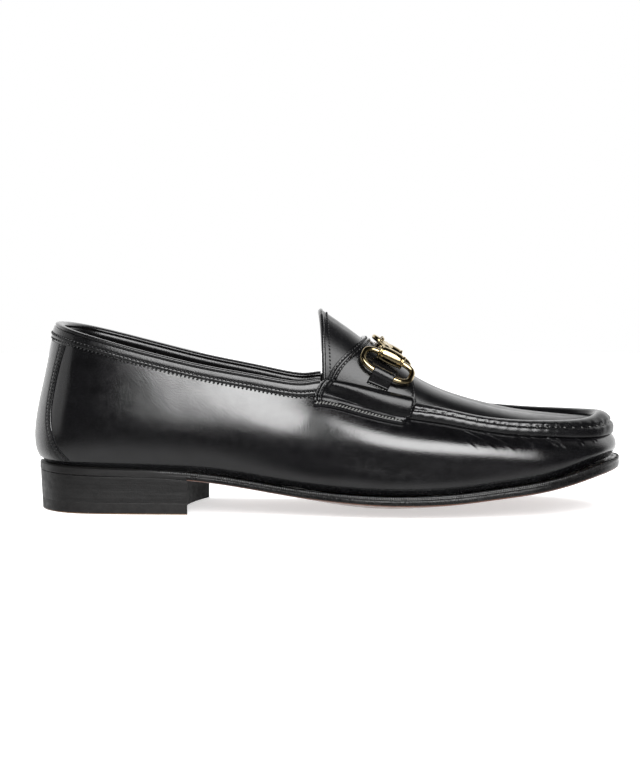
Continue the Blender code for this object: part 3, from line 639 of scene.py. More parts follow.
class Nodes:
    """A material's node tree, built a node at a time."""

    def __init__(self, name, colour, rough, metal=0.0, coat=0.0, coat_rough=0.1, specular=0.5):
        self.made = bpy.data.materials.new(name)
        self.made.use_nodes = True
        self.tree = self.made.node_tree
        self.shader = self.tree.nodes["Principled BSDF"]
        self.set("Base Color", (*colour, 1.0))
        self.set("Roughness", rough)
        self.set("Metallic", metal)
        self.set("Coat Weight", coat)
        self.set("Coat Roughness", coat_rough)
        self.set("Specular IOR Level", specular)
        self.place = self.tree.nodes.new("ShaderNodeTexCoord").outputs["Object"]
        self.last_bump = None

    def set(self, name, value):
        self.shader.inputs[name].default_value = value

    def node(self, kind, settings):
        made = self.tree.nodes.new(kind)
        for key, value in settings.items():
            made.inputs[key].default_value = value
        return made

    def noise(self, scale, detail=3.0, stretch=None):
        made = self.node("ShaderNodeTexNoise", {"Scale": scale, "Detail": detail, "Roughness": 0.55})
        place_from = self.place
        if stretch is not None:
            mapping = self.node("ShaderNodeMapping", {"Scale": stretch})
            self.tree.links.new(self.place, mapping.inputs["Vector"])
            place_from = mapping.outputs["Vector"]
        self.tree.links.new(place_from, made.inputs["Vector"])
        return made.outputs["Fac"]

    def cells(self, scale):
        made = self.node("ShaderNodeTexVoronoi", {"Scale": scale})
        self.tree.links.new(self.place, made.inputs["Vector"])
        return made.outputs["Distance"]

    def spread(self, value, low, high):
        """A texture's middle tones stretched over a range."""
        spans = {"From Min": 0.3, "From Max": 0.7, "To Min": low, "To Max": high}
        made = self.node("ShaderNodeMapRange", spans)
        self.tree.links.new(value, made.inputs["Value"])
        return made.outputs["Result"]

    def tint(self, value, first, second):
        """Base colour between two, by a texture."""
        mix = self.tree.nodes.new("ShaderNodeMix")
        mix.data_type = "RGBA"
        mix.inputs[6].default_value = (*first, 1.0)
        mix.inputs[7].default_value = (*second, 1.0)
        self.tree.links.new(self.spread(value, 0.0, 1.0), mix.inputs[0])
        self.tree.links.new(mix.outputs[2], self.shader.inputs["Base Color"])

    def polish(self, value, low, high):
        """Roughness between two values, by a texture."""
        self.tree.links.new(self.spread(value, low, high), self.shader.inputs["Roughness"])

    def bump(self, height, distance, strength=1.0):
        made = self.node("ShaderNodeBump", {"Strength": strength, "Distance": distance})
        self.tree.links.new(height, made.inputs["Height"])
        if self.last_bump is not None:
            self.tree.links.new(self.last_bump, made.inputs["Normal"])
        self.last_bump = made.outputs["Normal"]
        self.tree.links.new(self.last_bump, self.shader.inputs["Normal"])


def paler(colour, factor=1.8, more=0.004):
    """A colour's second tone."""
    return tuple(c * factor + more for c in colour)


def calf(name, colour, rough, coat, coat_rough, grain=1.0, cloud=1.0, specular=0.85):
    """Polished box calf: fine pores, a faint waviness of the hide, and uneven polish."""
    look = Nodes(name, colour, rough, coat=coat, coat_rough=coat_rough, specular=specular)
    look.tint(look.noise(120.0, 5.0), colour, paler(colour, 1.7, 0.002))
    look.polish(look.noise(260.0, 4.0), rough - 0.035, rough + 0.05)
    look.bump(look.noise(38.0, 2.0), 0.00035 * cloud, 0.5)
    look.bump(look.cells(1500.0), 0.000012 * grain)
    look.bump(look.noise(900.0, 4.0), 0.000016 * grain)
    return look.made


def thread(name, colour, rough=0.32):
    """Waxed thread with its twist."""
    look = Nodes(name, colour, rough, coat=0.1, coat_rough=0.2)
    twist = look.noise(1400.0, 2.0, (1.0, 1.0, 2.5))
    look.tint(twist, colour, paler(colour))
    look.polish(look.noise(700.0), rough - 0.08, rough + 0.1)
    look.bump(twist, 0.00012, 0.8)
    return look.made


def metal(name, colour, rough):
    """Polished and plated metal, a little worn."""
    look = Nodes(name, colour, rough, metal=1.0)
    look.tint(look.noise(90.0, 5.0), colour, paler(colour, 0.9, 0.0))
    look.polish(look.noise(420.0, 4.0), rough - 0.03, rough + 0.06)
    look.bump(look.noise(520.0), 0.00002, 0.6)
    return look.made


def edge_dye(name, colour, rough, coat=0.1, specular=0.5):
    """Dyed and waxed leather edge: layers in lines, and fine fibres."""
    look = Nodes(name, colour, rough, coat=coat, coat_rough=0.25, specular=specular)
    lines = look.noise(160.0, 4.0, (0.12, 0.12, 3.5))
    look.tint(lines, colour, paler(colour))
    look.polish(look.noise(300.0, 4.0), rough - 0.08, rough + 0.1)
    look.bump(lines, 0.00018, 0.8)
    look.bump(look.noise(1100.0), 0.00012, 0.9)
    return look.made


def sole_bottom():
    """Brown sole leather with fine streaks."""
    look = Nodes("sole_grain", (0.22, 0.085, 0.04), 0.45, coat=0.15, coat_rough=0.3)
    look.tint(look.noise(60.0, 6.0, (0.35, 1.6, 1.0)), (0.13, 0.050, 0.026), (0.075, 0.028, 0.016))
    look.polish(look.noise(200.0, 4.0), 0.36, 0.6)
    look.bump(look.noise(500.0, 4.0), 0.00012, 0.8)
    look.bump(look.cells(700.0), 0.00008, 0.6)
    return look.made


def sock_leather():
    """Tan lining leather with open pores."""
    look = Nodes("lining_leather", (0.36, 0.24, 0.15), 0.55)
    look.tint(look.noise(45.0, 5.0), (0.40, 0.27, 0.165), (0.29, 0.185, 0.11))
    look.polish(look.noise(300.0, 4.0), 0.48, 0.68)
    look.bump(look.cells(850.0), 0.00009, 0.8)
    look.bump(look.noise(60.0), 0.0004, 0.4)
    return look.made


def rubber():
    """Black rubber of the wear lift."""
    look = Nodes("heel_rubber", (0.010, 0.0095, 0.0095), 0.5)
    look.tint(look.noise(240.0, 5.0), (0.009, 0.0085, 0.0085), (0.017, 0.016, 0.0155))
    look.polish(look.noise(400.0, 4.0), 0.48, 0.68)
    look.bump(look.noise(900.0, 4.0), 0.00010, 0.9)
    return look.made


CALF = calf("polished_calf", (0.0016, 0.0016, 0.0020), 0.19, 0.5, 0.14, grain=2.6, cloud=1.8, specular=1.0)
STRAP_CALF = calf("strap_leather", (0.0022, 0.0022, 0.0026), 0.19, 0.0, 0.14, grain=2.2, specular=0.5)
TRIM_CALF = calf("trim_leather", (0.0022, 0.0022, 0.0026), 0.27, 0.2, 0.16, grain=3.0, specular=0.8)
SEAM_CALF = calf("seam_leather", (0.0018, 0.0018, 0.0022), 0.23, 0.0, 0.12, grain=2.0, specular=0.9)
APRON_CALF = calf("apron_leather", (0.0025, 0.0025, 0.003), 0.31, 0.0, 0.14, grain=1.6, specular=0.5)
BLACK_THREAD = thread("black_thread", (0.004, 0.004, 0.0045), rough=0.28)
SEAM_THREAD = thread("seam_thread", (0.05, 0.05, 0.048), rough=0.22)
# Thread for the hem and tab stitches: its pale grey colour is a painted highlight, standing in for the sheen of
# glossy thread
SHEEN_PAINTED_THREAD = thread("thread_painted_pale_for_sheen", (0.10, 0.10, 0.095), rough=0.25)
HEEL_EDGE = edge_dye("heel_edge_dye", (0.0065, 0.0062, 0.0062), 0.5, coat=0.0)
# Heel breast: the heel's edge leather made darker and almost unreflecting, a painted shade where the breast
# faces in under the shoe
HEEL_BREAST_PAINTED_SHADE = edge_dye("heel_breast_painted_shade", (0.0020, 0.0018, 0.0018), 0.6, coat=0.0, specular=0.06)
SOLE_EDGE_DYE = edge_dye("sole_edge_black", (0.003, 0.0029, 0.0029), 0.26, coat=0.0, specular=0.7)
LIFT = rubber()
LIFT_LINE = edge_dye("lift_line", (0.16, 0.095, 0.055), 0.5)
SOLE_BOTTOM = sole_bottom()
LINING = sock_leather()
BLACK_LINING = calf("black_lining", (0.004, 0.004, 0.0045), 0.4, 0.0, 0.2, grain=1.6)
GOLD = metal("polished_pale_gold", (0.47, 0.375, 0.215), 0.13)


# Upper

LEATHER = 0.0011  # outer leather of the upper, the rest of the wall is lining
LINING_GAP = 0.0001
UNDER_SEAM = 0.0007  # how far the leather draws in where the seam's ridge covers it

RIDGE_RIB, RIDGE_UP = 12.1, 1.02  # rib and place up from which the ridge covers the wall

# Spacing of the wall's mesh where creases show, from rib to rib on each side, and elsewhere
CREASED = ((-19.0, -13.2, 0.0005), (13.5, 19.0, 0.0011))
PLAIN_STEP = 0.0020


def spaced_ribs():
    """Ribs round the shoe: closer where the seam draws creases in the leather."""
    steps = []
    rib = -float(RIBS)
    while rib < RIBS - 1e-6:
        steps.append(rib)
        near = [step for first, last, step in CREASED if first <= rib <= last]
        rib += (near or [PLAIN_STEP])[0] / pace(edge_of, rib)
    return np.array(steps)


# Creases that the seam draws in the wall: rib and place up at their upper end and at their lower end, depth
CREASES = (
    (-13.05, 0.90, -13.75, 0.52, 0.00006),
    (-13.45, 0.93, -14.20, 0.55, 0.00008),
    (-13.95, 0.95, -14.60, 0.55, 0.00010),
    (-14.75, 0.97, -15.30, 0.62, 0.00018),
    (-15.15, 0.95, -15.50, 0.72, 0.00017),
    (-15.85, 0.97, -16.25, 0.64, 0.00042),
    (-16.30, 0.97, -16.55, 0.60, 0.00048),
    (-17.15, 0.97, -17.35, 0.68, 0.00038),
    (-17.90, 0.96, -18.05, 0.74, 0.00032),
    (15.10, 0.97, 15.50, 0.72, 0.00011),
    (16.30, 0.97, 16.60, 0.72, 0.00013),
    (17.20, 0.97, 17.40, 0.74, 0.00011),
)

CREASE_BOW = 0.0006  # how far a crease bends
CREASE_REACH = 0.006  # no crease is felt further away


def crease_depth(points):
    """Fine sharp lines below the seam, each a groove with a lip beside it."""
    depth = np.zeros(points.shape[:2])
    for rib, up, far_rib, far_up, deep in CREASES:
        start, end = skin(rib, up), skin(far_rib, far_up)
        run = end - start
        away = points - start
        along = away @ run / run.dot(run)
        off = away - along[..., None] * run
        side = off[..., 0] - CREASE_BOW * np.sin(pi * np.clip(along, 0, 1)) * (1 if rib < 0 else -1)
        near = np.linalg.norm(off, axis=2) < CREASE_REACH
        fade = ease(along / 0.12) * ease((1 - along) / 0.45) * near
        depth += deep * fade * (bell(side + 0.0004, 0.00042) - 1.15 * bell(side - 0.0003, 0.00038))
    return depth


def add_upper():
    """The wall from its lower edge to the seam or the collar: outer leather, and its lining inside."""
    ribs = spaced_ribs()
    spans = ((0, 0.10, 9), (0.10, 0.62, 20), (0.62, 1.0, 34))
    low = np.concatenate([np.linspace(*span)[:-1] for span in spans])
    ups = np.concatenate([low, np.linspace(1.0, 2.0, 12)])
    base = grid(ribs, ups)
    normals = grid_normals(base, ring=True)
    covered = (np.abs(ribs) > RIDGE_RIB)[:, None] & (ups > RIDGE_UP)[None, :]
    outer = base + normals * (crease_depth(base) - UNDER_SEAM * covered)[..., None]
    few = [0, 4, 9, 15, 21, 28, 36, 44, 52, 58, 61, 64, 67, 70, len(ups) - 1]
    inner = (base - normals * LEATHER)[:, few]
    loops = np.concatenate([outer, inner[:, ::-1]], axis=1)
    add_tube("upper_wall", loops, [CALF], "upper_calf", ["upper"], ring=True, sharp=60)
    outer = (base - normals * (LEATHER + LINING_GAP))[::3][:, few]
    inner = (base - normals * UPPER_WALL)[::3][:, few]
    loops = np.concatenate([outer, inner[:, ::-1]], axis=1)
    add_tube("upper_lining", loops, [BLACK_LINING], "lining", ring=True, sharp=60)


def arch(rib, ups):
    """One line of the apron across the shoe, from the outer seam over the middle to the inner seam."""
    outer = [skin(-rib, up) for up in ups]
    inner = [skin(rib, up) for up in ups[:-1]]
    return outer + inner[::-1]


def add_apron():
    """The apron from seam to seam, with the tongue, and its lining."""
    ribs = np.concatenate([np.linspace(THROAT, 12.6, 36)[:-1], np.linspace(12.6, RIBS - 0.02, 74)])
    ups = np.concatenate([np.linspace(2.0, 3.0, 9)[:-1], np.linspace(3.0, 4.0, 30)]).tolist()
    base = np.array([arch(rib, ups) for rib in ribs.tolist()])
    crown = base.shape[1] // 2
    base[:, crown - 6 : crown + 7] = softened(base[:, crown - 9 : crown + 10], 10, (1,))[:, 3:-3]
    normals = facing(grid_normals(base), 3, crown, 2)
    add_shell("apron", base, base - normals * LEATHER, [APRON_CALF], "upper_calf", sharp=60)
    outer, inner = base - normals * (LEATHER + LINING_GAP), base - normals * UPPER_WALL
    add_shell("apron_lining", outer, inner, [BLACK_LINING], "lining", sharp=60)
    return Sheet(base, normals)


# Hand-sewn seam

SEAM_START = 11.9  # rib where the ridge starts, under the strap
SEAM_ROWS = 34
SEAM_STEP = 0.00062
SEAM_HEIGHT = 0.00050
TRENCH = 0.34  # place of the stitched trench, as a share of the ridge's width
TRENCH_DEPTH = 0.00095


def seam_section(rib):
    """Smooth line from the foot of the roll over its top to the apron."""
    points = np.array([skin(rib, up) for up in (1.0, 1.25, 1.5, 1.75, 2.0, 2.5, 3.0)])
    along = run_along(points)
    at = curve(along, points)
    return [at(share * along[-1]) for share in np.linspace(0, 1, SEAM_ROWS)]


def seam_height(run, across, wide):
    """Height of the ridge over the roll: trench, puckers at each stitch and the two folds beside them."""
    share = across / wide
    trench = share - TRENCH
    jitter = 0.0004 * np.sin(run * 900.0) + 0.0003 * np.sin(run * 2330.0 + 1.0)
    phase = 2 * pi * (run + jitter)[:, None] / SEAM_PITCH + trench * 7.0
    rear = ease((np.abs(run - run[-1] / 2) - 0.07) / 0.05)[:, None]
    pucker = np.cos(phase)
    fold = np.abs(np.cos(phase / 2)) ** 3
    height = SEAM_HEIGHT - TRENCH_DEPTH * bell(trench, 0.055)
    height = height + (0.00013 + 0.00016 * rear) * pucker * bell(trench - 0.05, 0.11)
    height = height + (0.00008 + 0.00006 * rear) * fold * bell(trench + 0.12, 0.10)
    height = height - 0.0007 * np.maximum(0, pucker) ** 6 * bell(trench, 0.05)
    height = height + 0.0002 * bell(share - 0.06, 0.05)
    return height - edge_drop(across, 0.0006, 0.0008) - edge_drop(wide - across, 0.0007, 0.0009)


def add_seam():
    """The raised seam: wall and apron drawn up together, puckered at each stitch."""
    steps = paced(top_of, SEAM_START, SEAM_STEP)
    ribs = steps + [float(RIBS)] + [-rib for rib in reversed(steps)]
    base = softened(np.array([seam_section(rib) for rib in ribs]), 3, (0,))
    top = base.shape[1] // 2
    normals = facing(grid_normals(base), 5, top, 2)
    across = lengths(base, 1)
    wide = across[:, -1:]
    height = seam_height(run_along(base[:, top]), across, wide)
    outer = base + normals * height[..., None]
    add_shell("seam_ridge", outer, base - normals * 0.0005, [SEAM_CALF], "upper_calf", sharp=70)
    columns = [index_at(line, TRENCH * line[-1]) for line in across]
    run = sewn(Sheet(outer, normals), range(len(ribs)), columns, -0.00005, SEAM_STITCH)
    add_stitches("seam_stitches", [run], SEAM_THREAD, "trim_calf")


# Collar band, back strip and saddle strap

BAND_SHORT = 0.14  # ribs from the throat to the band's ends
BAND_SECTIONS = 441
BAND_GROOVE = 0.27  # place of the groove in the band, as a share of its height
BAND_DIP = 0.00045  # depth of that groove
BEAD_HEIGHT, BEAD_RISE = 0.00118, 0.00025  # half height of the bead on the rim, and its middle over the rim
GROOVE_COLUMN, EDGE_COLUMN = 6, 1  # points of the band's section that its stitches follow
STITCH_INSETS = (0.0013, 0.0034)  # rows of stitches from the back strip's edge
BACK_GROOVE = (0.00034, 0.00042)  # depth and width of the grooves that they lie in
STRAP_INSETS = (0.0014, 0.0036)  # rows of stitches from the strap's back edge
STRAP_GROOVE = (0.00036, 0.00045)
STRAP_FRONT_INSET = 0.0012
HEM_INSET = 0.0013
STRAP_SWELL = 0.0021  # height of the strap over the seam
SWELL_UP = 1.74  # place of that swell up the upper
TONGUE_BEAD = (0.00150, 0.00115)  # half height and half width of the bead on the tongue's edge
TONGUE_INSET = 0.0031  # row of stitches from the tongue's edge


def binding_section(down):
    """The band across, from its lower edge over the rim to its edge inside: height from the rim, place out."""
    face = SKIN_GAP + BINDING_THICKNESS
    inner = -UPPER_WALL - GAP * 1.6
    lining = inner - BINDING_THICKNESS
    line = [(-down, SKIN_GAP - 0.0004), (-down, SKIN_GAP + 0.0002), (0.0001 - down, face - 0.0003)]
    line.append((0.0004 - down, face))
    for share in (0.12, 0.22, 0.245, 0.27, 0.295, 0.32, 0.42, 0.56, 0.70, 0.80):
        dip = BAND_DIP * float(bell(share - BAND_GROOVE, 0.04))
        line.append(((0.0004 - down) * (1 - share), face + 0.0002 * sin(pi * share) - dip))
    line += [(-0.0013, face - 0.00005), (-0.0009, face - 0.0005)]
    for angle in map(radians, range(-20, 201, 20)):
        wide = (face - lining) / 2 + 0.00005
        line.append((BEAD_RISE + BEAD_HEIGHT * sin(angle), (face + lining) / 2 + wide * cos(angle)))
    line += [(-0.0009, lining + 0.0004), (-0.0013, lining), (0.0003 - BINDING_INSIDE, lining)]
    line += [(-BINDING_INSIDE, lining + 0.0003), (-BINDING_INSIDE, inner), (-0.002, inner)]
    return line + [(-0.0015, inner + 0.0008), (-0.0015, SKIN_GAP - 0.0008)]


def add_binding():
    """Band outside the collar with a bead along its rim, turned down inside, and its two rows of stitches."""
    end = THROAT - BAND_SHORT
    loops, normals = [], []
    for rib in np.linspace(-end, end, BAND_SECTIONS).tolist():
        foot, rim = skin(rib, 1.0), skin(rib, 2.0)
        down = np.linalg.norm(rim - foot)
        up = (rim - foot) / down
        out = unit(np.cross(up, skin(rib + 0.1, 2.0) - skin(rib - 0.1, 2.0)))
        loops.append([rim + up * a + out * b for a, b in binding_section(down)])
        normals.append(out)
    loops, normals = np.array(loops), np.array(normals)
    add_tube("collar_band", loops, [TRIM_CALF], "trim_calf", ["collar_binding"], sharp=60)
    groove = stitch_bodies(loops[:, GROOVE_COLUMN] + normals * 0.00012, normals, COLLAR_STITCH)
    edge = loops[:, EDGE_COLUMN] + normals * 0.00006 - np.array([0, 0, 0.00045])
    runs = [groove, stitch_bodies(edge, normals, COLLAR_EDGE_STITCH)]
    add_stitches("collar_stitches", runs, BLACK_THREAD, "trim_calf")


def add_back_strip():
    """Strip over the heel seam with a row of stitches and a groove on each side."""
    columns, rows = 91, 110
    edge = curve([row[0] for row in BACKSTAY], [row[1] for row in BACKSTAY])
    ups = np.linspace(BACKSTAY[0][0], BACKSTAY[-1][0], rows).tolist()
    shares = np.linspace(-1, 1, columns).tolist()
    base = np.array([[skin(float(edge(up)) * share, up) for up in ups] for share in shares])
    normals = facing(grid_normals(base), columns // 2, rows // 2, 0, -1)
    run = lengths(base, 0)
    inside = np.minimum(run, run[-1:] - run)
    height = SKIN_GAP + BACKSTAY_THICKNESS - 0.0008 - edge_drop(inside, 0.0004, 0.0004)
    height = height + 0.00010 * bell(inside - 0.0023, 0.0006)
    for inset in STITCH_INSETS:
        height = height - BACK_GROOVE[0] * bell(inside - inset, BACK_GROOVE[1])
    sheet = Sheet(base + normals * height[..., None], normals)
    inner = base + normals * 0.0001
    add_shell("back_strip", sheet.points, inner, [TRIM_CALF], "trim_calf", ["backstay"], sharp=60)
    runs = []
    for inset in STITCH_INSETS:
        near = [index_at(run[:, j], inset) for j in range(rows)]
        far = [index_at(run[:, j], run[-1, j] - inset) for j in range(rows)]
        runs += [sewn(sheet, spots, range(rows), 0.0001, BACK_STITCH) for spots in (near, far)]
    add_stitches("back_strip_stitches", runs, BLACK_THREAD, "trim_calf")


def strap_height(back, front, wing, ups):
    """Height of the strap: cut edges, stitched grooves, hems at its ends and the swell over the seam."""
    rim = np.minimum(np.minimum(back, front), wing)
    height = SKIN_GAP + STRAP_THICKNESS + 0.0001 - edge_drop(rim, 0.0008, 0.0011)
    for inset in STRAP_INSETS:
        height = height - STRAP_GROOVE[0] * bell(back - inset, STRAP_GROOVE[1])
    height = height - 0.0002 * bell(front - STRAP_FRONT_INSET, 0.0003)
    height = height + 0.0002 * bell(back - 0.0025, 0.0007)
    height = height + 0.00022 * bell(wing - 0.0012, 0.0009) - 0.00055 * bell(wing - 0.0030, 0.0005)
    middle = ease((back - 0.0042) / 0.003) * ease((front - 0.0002) / 0.0016)
    height = height + STRAP_SWELL * bell(ups - SWELL_UP, 0.25) * middle
    return height + np.sin(back * 470.0) * 0.00008 * bell(wing - 0.0034, 0.0016)


def add_strap():
    """Saddle strap over the seam, with its sewn ends hemmed."""
    columns = 76
    table = np.array(STRAP)
    edges = curve(table[:, 0], table[:, 1:])
    ups = [np.linspace(0.87, 1.0, 10)[:-1], np.linspace(1.0, 3.0, 44)[:-1], np.linspace(3.0, 4.0, 44)]
    ups = np.concatenate(ups)
    shares = np.linspace(0, 1, columns).tolist()
    halves = []
    for side in (-1, 1):
        spans = [(up, *edges(up)) for up in ups.tolist()]
        halves.append([[skin(side * float(a + (b - a) * s), up) for s in shares] for up, a, b in spans])
    base = softened(np.array(halves[0] + halves[1][:-1][::-1]), 6)
    rows = len(base)
    normals = facing(grid_normals(base), len(ups) - 1, columns // 2, 2)
    back, wing = lengths(base, 1), lengths(base, 0)
    front = back[:, -1:] - back
    wing = np.minimum(wing, wing[-1:] - wing)
    height = strap_height(back, front, wing, np.concatenate([ups, ups[:-1][::-1]])[:, None])
    sheet = Sheet(base + normals * height[..., None], normals)
    inner = base + normals * 0.0002
    add_shell("saddle_leather", sheet.points, inner, [STRAP_CALF], "strap_calf", ["saddle_strap"], sharp=60)
    along = range(3, rows - 3)
    runs = []
    for inset in STRAP_INSETS:
        runs.append(sewn(sheet, along, [index_at(back[i], inset) for i in along], 0.0001, STRAP_STITCH))
    spots = [columns - 1 - index_at(front[i][::-1], STRAP_FRONT_INSET) for i in along]
    runs.append(sewn(sheet, along, spots, 0.0001, STRAP_FRONT_STITCH))
    add_stitches("saddle_stitches", runs, BLACK_THREAD, "trim_calf")
    across = range(3, columns - 2)
    near = [index_at(wing[: rows // 2, j], HEM_INSET) for j in across]
    far = [rows - 1 - index_at(wing[rows // 2 :, j][::-1], HEM_INSET) for j in across]
    runs = [sewn(sheet, near, across, 0.00012, HEM_STITCH), sewn(sheet, far, across, 0.00012, HEM_STITCH, -1)]
    # The hem's whip stitches use the thread painted pale grey: painted sheen
    add_stitches("hem_stitches", runs, SHEEN_PAINTED_THREAD, "trim_calf")


def add_tongue_edge(sheet):
    """Bead along the tongue's back edge with a row of stitches inside it."""
    columns = sheet.points.shape[1]
    first, last = 4, columns - 5
    loops = []
    for column in np.linspace(first, last, 130):
        point, normal = sheet.at(0.0, column)
        ahead = sheet.at(0.0, min(column + 0.3, columns - 1))[0] - sheet.at(0.0, max(column - 0.3, 0))[0]
        second = unit(np.cross(unit(ahead), normal))
        loops.append(hoop(point - normal * 0.0010, normal, second, *TONGUE_BEAD, 14))
    add_tube("tongue_bead", loops, [TRIM_CALF], "trim_calf", sharp=60)
    rows = np.linspace(0, 12, 60)
    places = np.linspace(first, last, 160)
    spots = []
    for column in places:
        run = run_along([sheet.at(row, column)[0] for row in rows])
        spots.append(float(np.interp(TONGUE_INSET, run, rows)))
    run = sewn(sheet, spots, places, 0.00016, TONGUE_STITCH)
    add_stitches("tongue_stitches", [run], BLACK_THREAD, "trim_calf")


# Sole and heel

# The sole's edge from its top to its underside: distance out from the outline, share of the thickness
SOLE_EDGE = (
    (-0.0028, 1.00), (-0.0020, 1.00), (-0.0014, 0.985), (-0.0009, 0.95), (-0.0005, 0.895), (-0.0002, 0.82),
    (-0.00006, 0.75), (-0.0001, 0.68), (-0.00015, 0.63), (-0.00011, 0.58), (-0.00003, 0.52), (0.0, 0.44),
    (0.0, 0.24), (-0.0001, 0.15), (-0.0004, 0.07), (-0.0010, 0.01),
)
WAIST, WAIST_LONG = 5.4, 0.9  # rib where the beaded edge starts, and ribs until it is full


def sole_section(side, rib):
    """The edge of the sole at one rib, plain over the heel and beaded from the waist on."""
    points = []
    beaded = float(ease((rib - WAIST) / WAIST_LONG))
    for out, share in SOLE_EDGE:
        if out > -0.0006 and 0.1 < share < 0.9:
            out *= beaded
        x, y = edge_point(side * rib, -out)
        low, high = under(x), over(x)
        points.append((x, y, low + (high - low) * share))
    return points


def add_outsole():
    """The sole from heel to toe: dyed edge, brown underside before the heel."""
    shares = (-0.93, -0.8, -0.62, -0.42, -0.2, 0.0, 0.2, 0.42, 0.62, 0.8, 0.93)
    ends = (np.linspace(0.012, 1.5, 14)[:-1], np.linspace(RIBS - 1.5, RIBS - 0.012, 22))
    ribs = [*ends[0].tolist(), *np.linspace(1.5, RIBS - 1.5, 150)[:-1].tolist(), *ends[1].tolist()]
    loops = []
    for rib in ribs:
        tuck = min(0.0036, 0.8 * abs(edge_of(rib)[1]) + 0.0001)
        top = across_line(rib, tuck, shares, over)
        bottom = across_line(rib, min(0.0014, tuck), shares, under)
        loops.append(top + sole_section(1, rib) + bottom[::-1] + sole_section(-1, rib)[::-1])
    first = len(shares) + len(SOLE_EDGE)
    bottom = range(first - 3, first + len(shares) + 2)
    which = []
    for rib in ribs[:-1]:
        over_heel = edge_of(rib)[0] < place(BREAST_SHARE)
        which += [2 if over_heel else 1 if j in bottom else 0 for j in range(len(loops[0]))]
    looks = [SOLE_EDGE_DYE, SOLE_BOTTOM, HEEL_EDGE]
    add_tube("outsole_leather", loops, looks, "sole_leather", ["outsole"], which=which + [0, 0])


WHEEL_START = 5.2  # rib where the wheel's marks start
WHEEL_STEP = 0.00030
WHEEL_PITCH = 0.00112
WHEEL_DEPTH = 0.00013
WHEEL_FADE = 160  # sections over which the marks fade at both ends


def add_wheeling():
    """Fine marks of the fudge wheel, from the outer waist round the toe to the inner waist."""
    steps = paced(edge_of, WHEEL_START, WHEEL_STEP)
    ribs = [-rib for rib in steps] + [-float(RIBS)] + steps[::-1]
    runs = run_along([edge_point(rib) for rib in ribs])
    loops = []
    for n, (rib, run) in enumerate(zip(ribs, runs)):
        fade = ease(min(n, len(ribs) - n) / WHEEL_FADE)
        tooth = WHEEL_DEPTH * fade * np.cos(2 * pi * run / WHEEL_PITCH)
        line = []
        for angle in map(radians, range(-60, 241, 30)):
            x, y = edge_point(rib, 0.00090 - (0.00080 + tooth * 0.8) * cos(angle))
            line.append((x, y, over(x) - 0.00075 + (0.00085 + tooth) * sin(angle)))
        loops.append(line)
    add_tube("wheel_marks", loops, [SOLE_EDGE_DYE], "sole_leather", sharp=70)


HEEL_DRAW = 0.0002  # how far the heel draws in at the sole
LIFT_GROOVE = 0.00002  # depth of the lines between lifts
HEEL_CORNER = 0.0001  # how far the corners of a lift draw in


def breast_rib(side, x):
    """Rib where the sole's edge on one side passes a place along the shoe."""
    low, high = 3.0, 10.0
    for _ in range(40):
        middle = (low + high) / 2
        low, high = (middle, high) if edge_of(side * middle)[0] < x else (low, middle)
    return low


def perimeter(inset):
    """The heel's outline in plan: round the back, then across the breast."""
    breast = place(BREAST_SHARE)
    outer_rib = breast_rib(-1, breast - BREAST_SKEW + BREAST_HOLLOW)
    inner_rib = breast_rib(1, breast + BREAST_SKEW + BREAST_HOLLOW)
    points = [edge_point(rib, inset) for rib in np.linspace(-outer_rib, inner_rib, 190).tolist()]
    start, end = points[-1], points[0]
    for share in np.linspace(1, -1, 36)[1:-1]:
        y = end[1] + (start[1] - end[1]) * (1 + share) / 2
        points.append(np.array([breast + BREAST_SKEW * share + BREAST_HOLLOW * share**2, y]))
    return points


def add_heel(name, node, low, high, insets, rows, looks, slot, grooves, line_below=0.0):
    """Lifts between two heights with fine lines where they meet. Its second look is a line round its foot, its
    last a painted shade on the breast.
    """
    loops = []
    for share in rows:
        line = LIFT_GROOVE * sum(float(bell(share - at, 0.010)) for at in grooves)
        corner = HEEL_CORNER * float(bell(share, 0.02) + bell(share - 1, 0.02))
        inset = insets[0] + (insets[1] - insets[0]) * share + line + corner
        loops.append([(x, y, low + (high(x) - low) * share) for x, y in perimeter(inset)])
    which = []
    for share, line in zip(rows[:-1], loops):
        for here, ahead in zip(line, line[1:] + line[:1]):
            in_front = (here[0] + ahead[0]) / 2 > place(BREAST_SHARE) - 0.012
            breast = in_front and abs(ahead[1] - here[1]) > abs(ahead[0] - here[0])
            # Faces across the breast take the darker look: painted shade
            which.append(len(looks) if breast else int(share < line_below))
    add_tube(name, loops, looks + [HEEL_BREAST_PAINTED_SHADE], slot, [node], sharp=40, which=which + [0, 0])


def add_heels():
    """The stack of lifts under the sole, and the wear lift below it."""
    grooves = (0.0, 0.245, 0.49, 0.74, 0.985)
    near = {round(at + off, 4) for at in grooves for off in (-0.02, -0.008, 0.0, 0.008, 0.02)}
    rows = sorted({share for share in near if 0 <= share <= 1} | {0.12, 0.36, 0.62, 0.86, 1.0})
    draw = HEEL_DRAW + HEEL_TAPER * 0.7
    stack = (LIFT_THICKNESS - 0.00005, lambda x: under(x, 0.0) + 0.0001, (draw, HEEL_DRAW), rows)
    add_heel("heel_lifts", "heel_stack", *stack, [HEEL_EDGE], "heel_leather", grooves)
    rows = [0.0, 0.03, 0.06, 0.075, 0.09, 0.3, 0.5, 0.7, 0.9, 0.97, 1.0]
    lift = (0.0, lambda x: LIFT_THICKNESS, (HEEL_DRAW + HEEL_TAPER, draw), rows)
    add_heel("heel_top_piece", "top_lift", *lift, [LIFT, LIFT_LINE], "lift_rubber", (0.075,), 0.07)


SOCK_INSET = 0.004  # row of stitches from the sock's edge


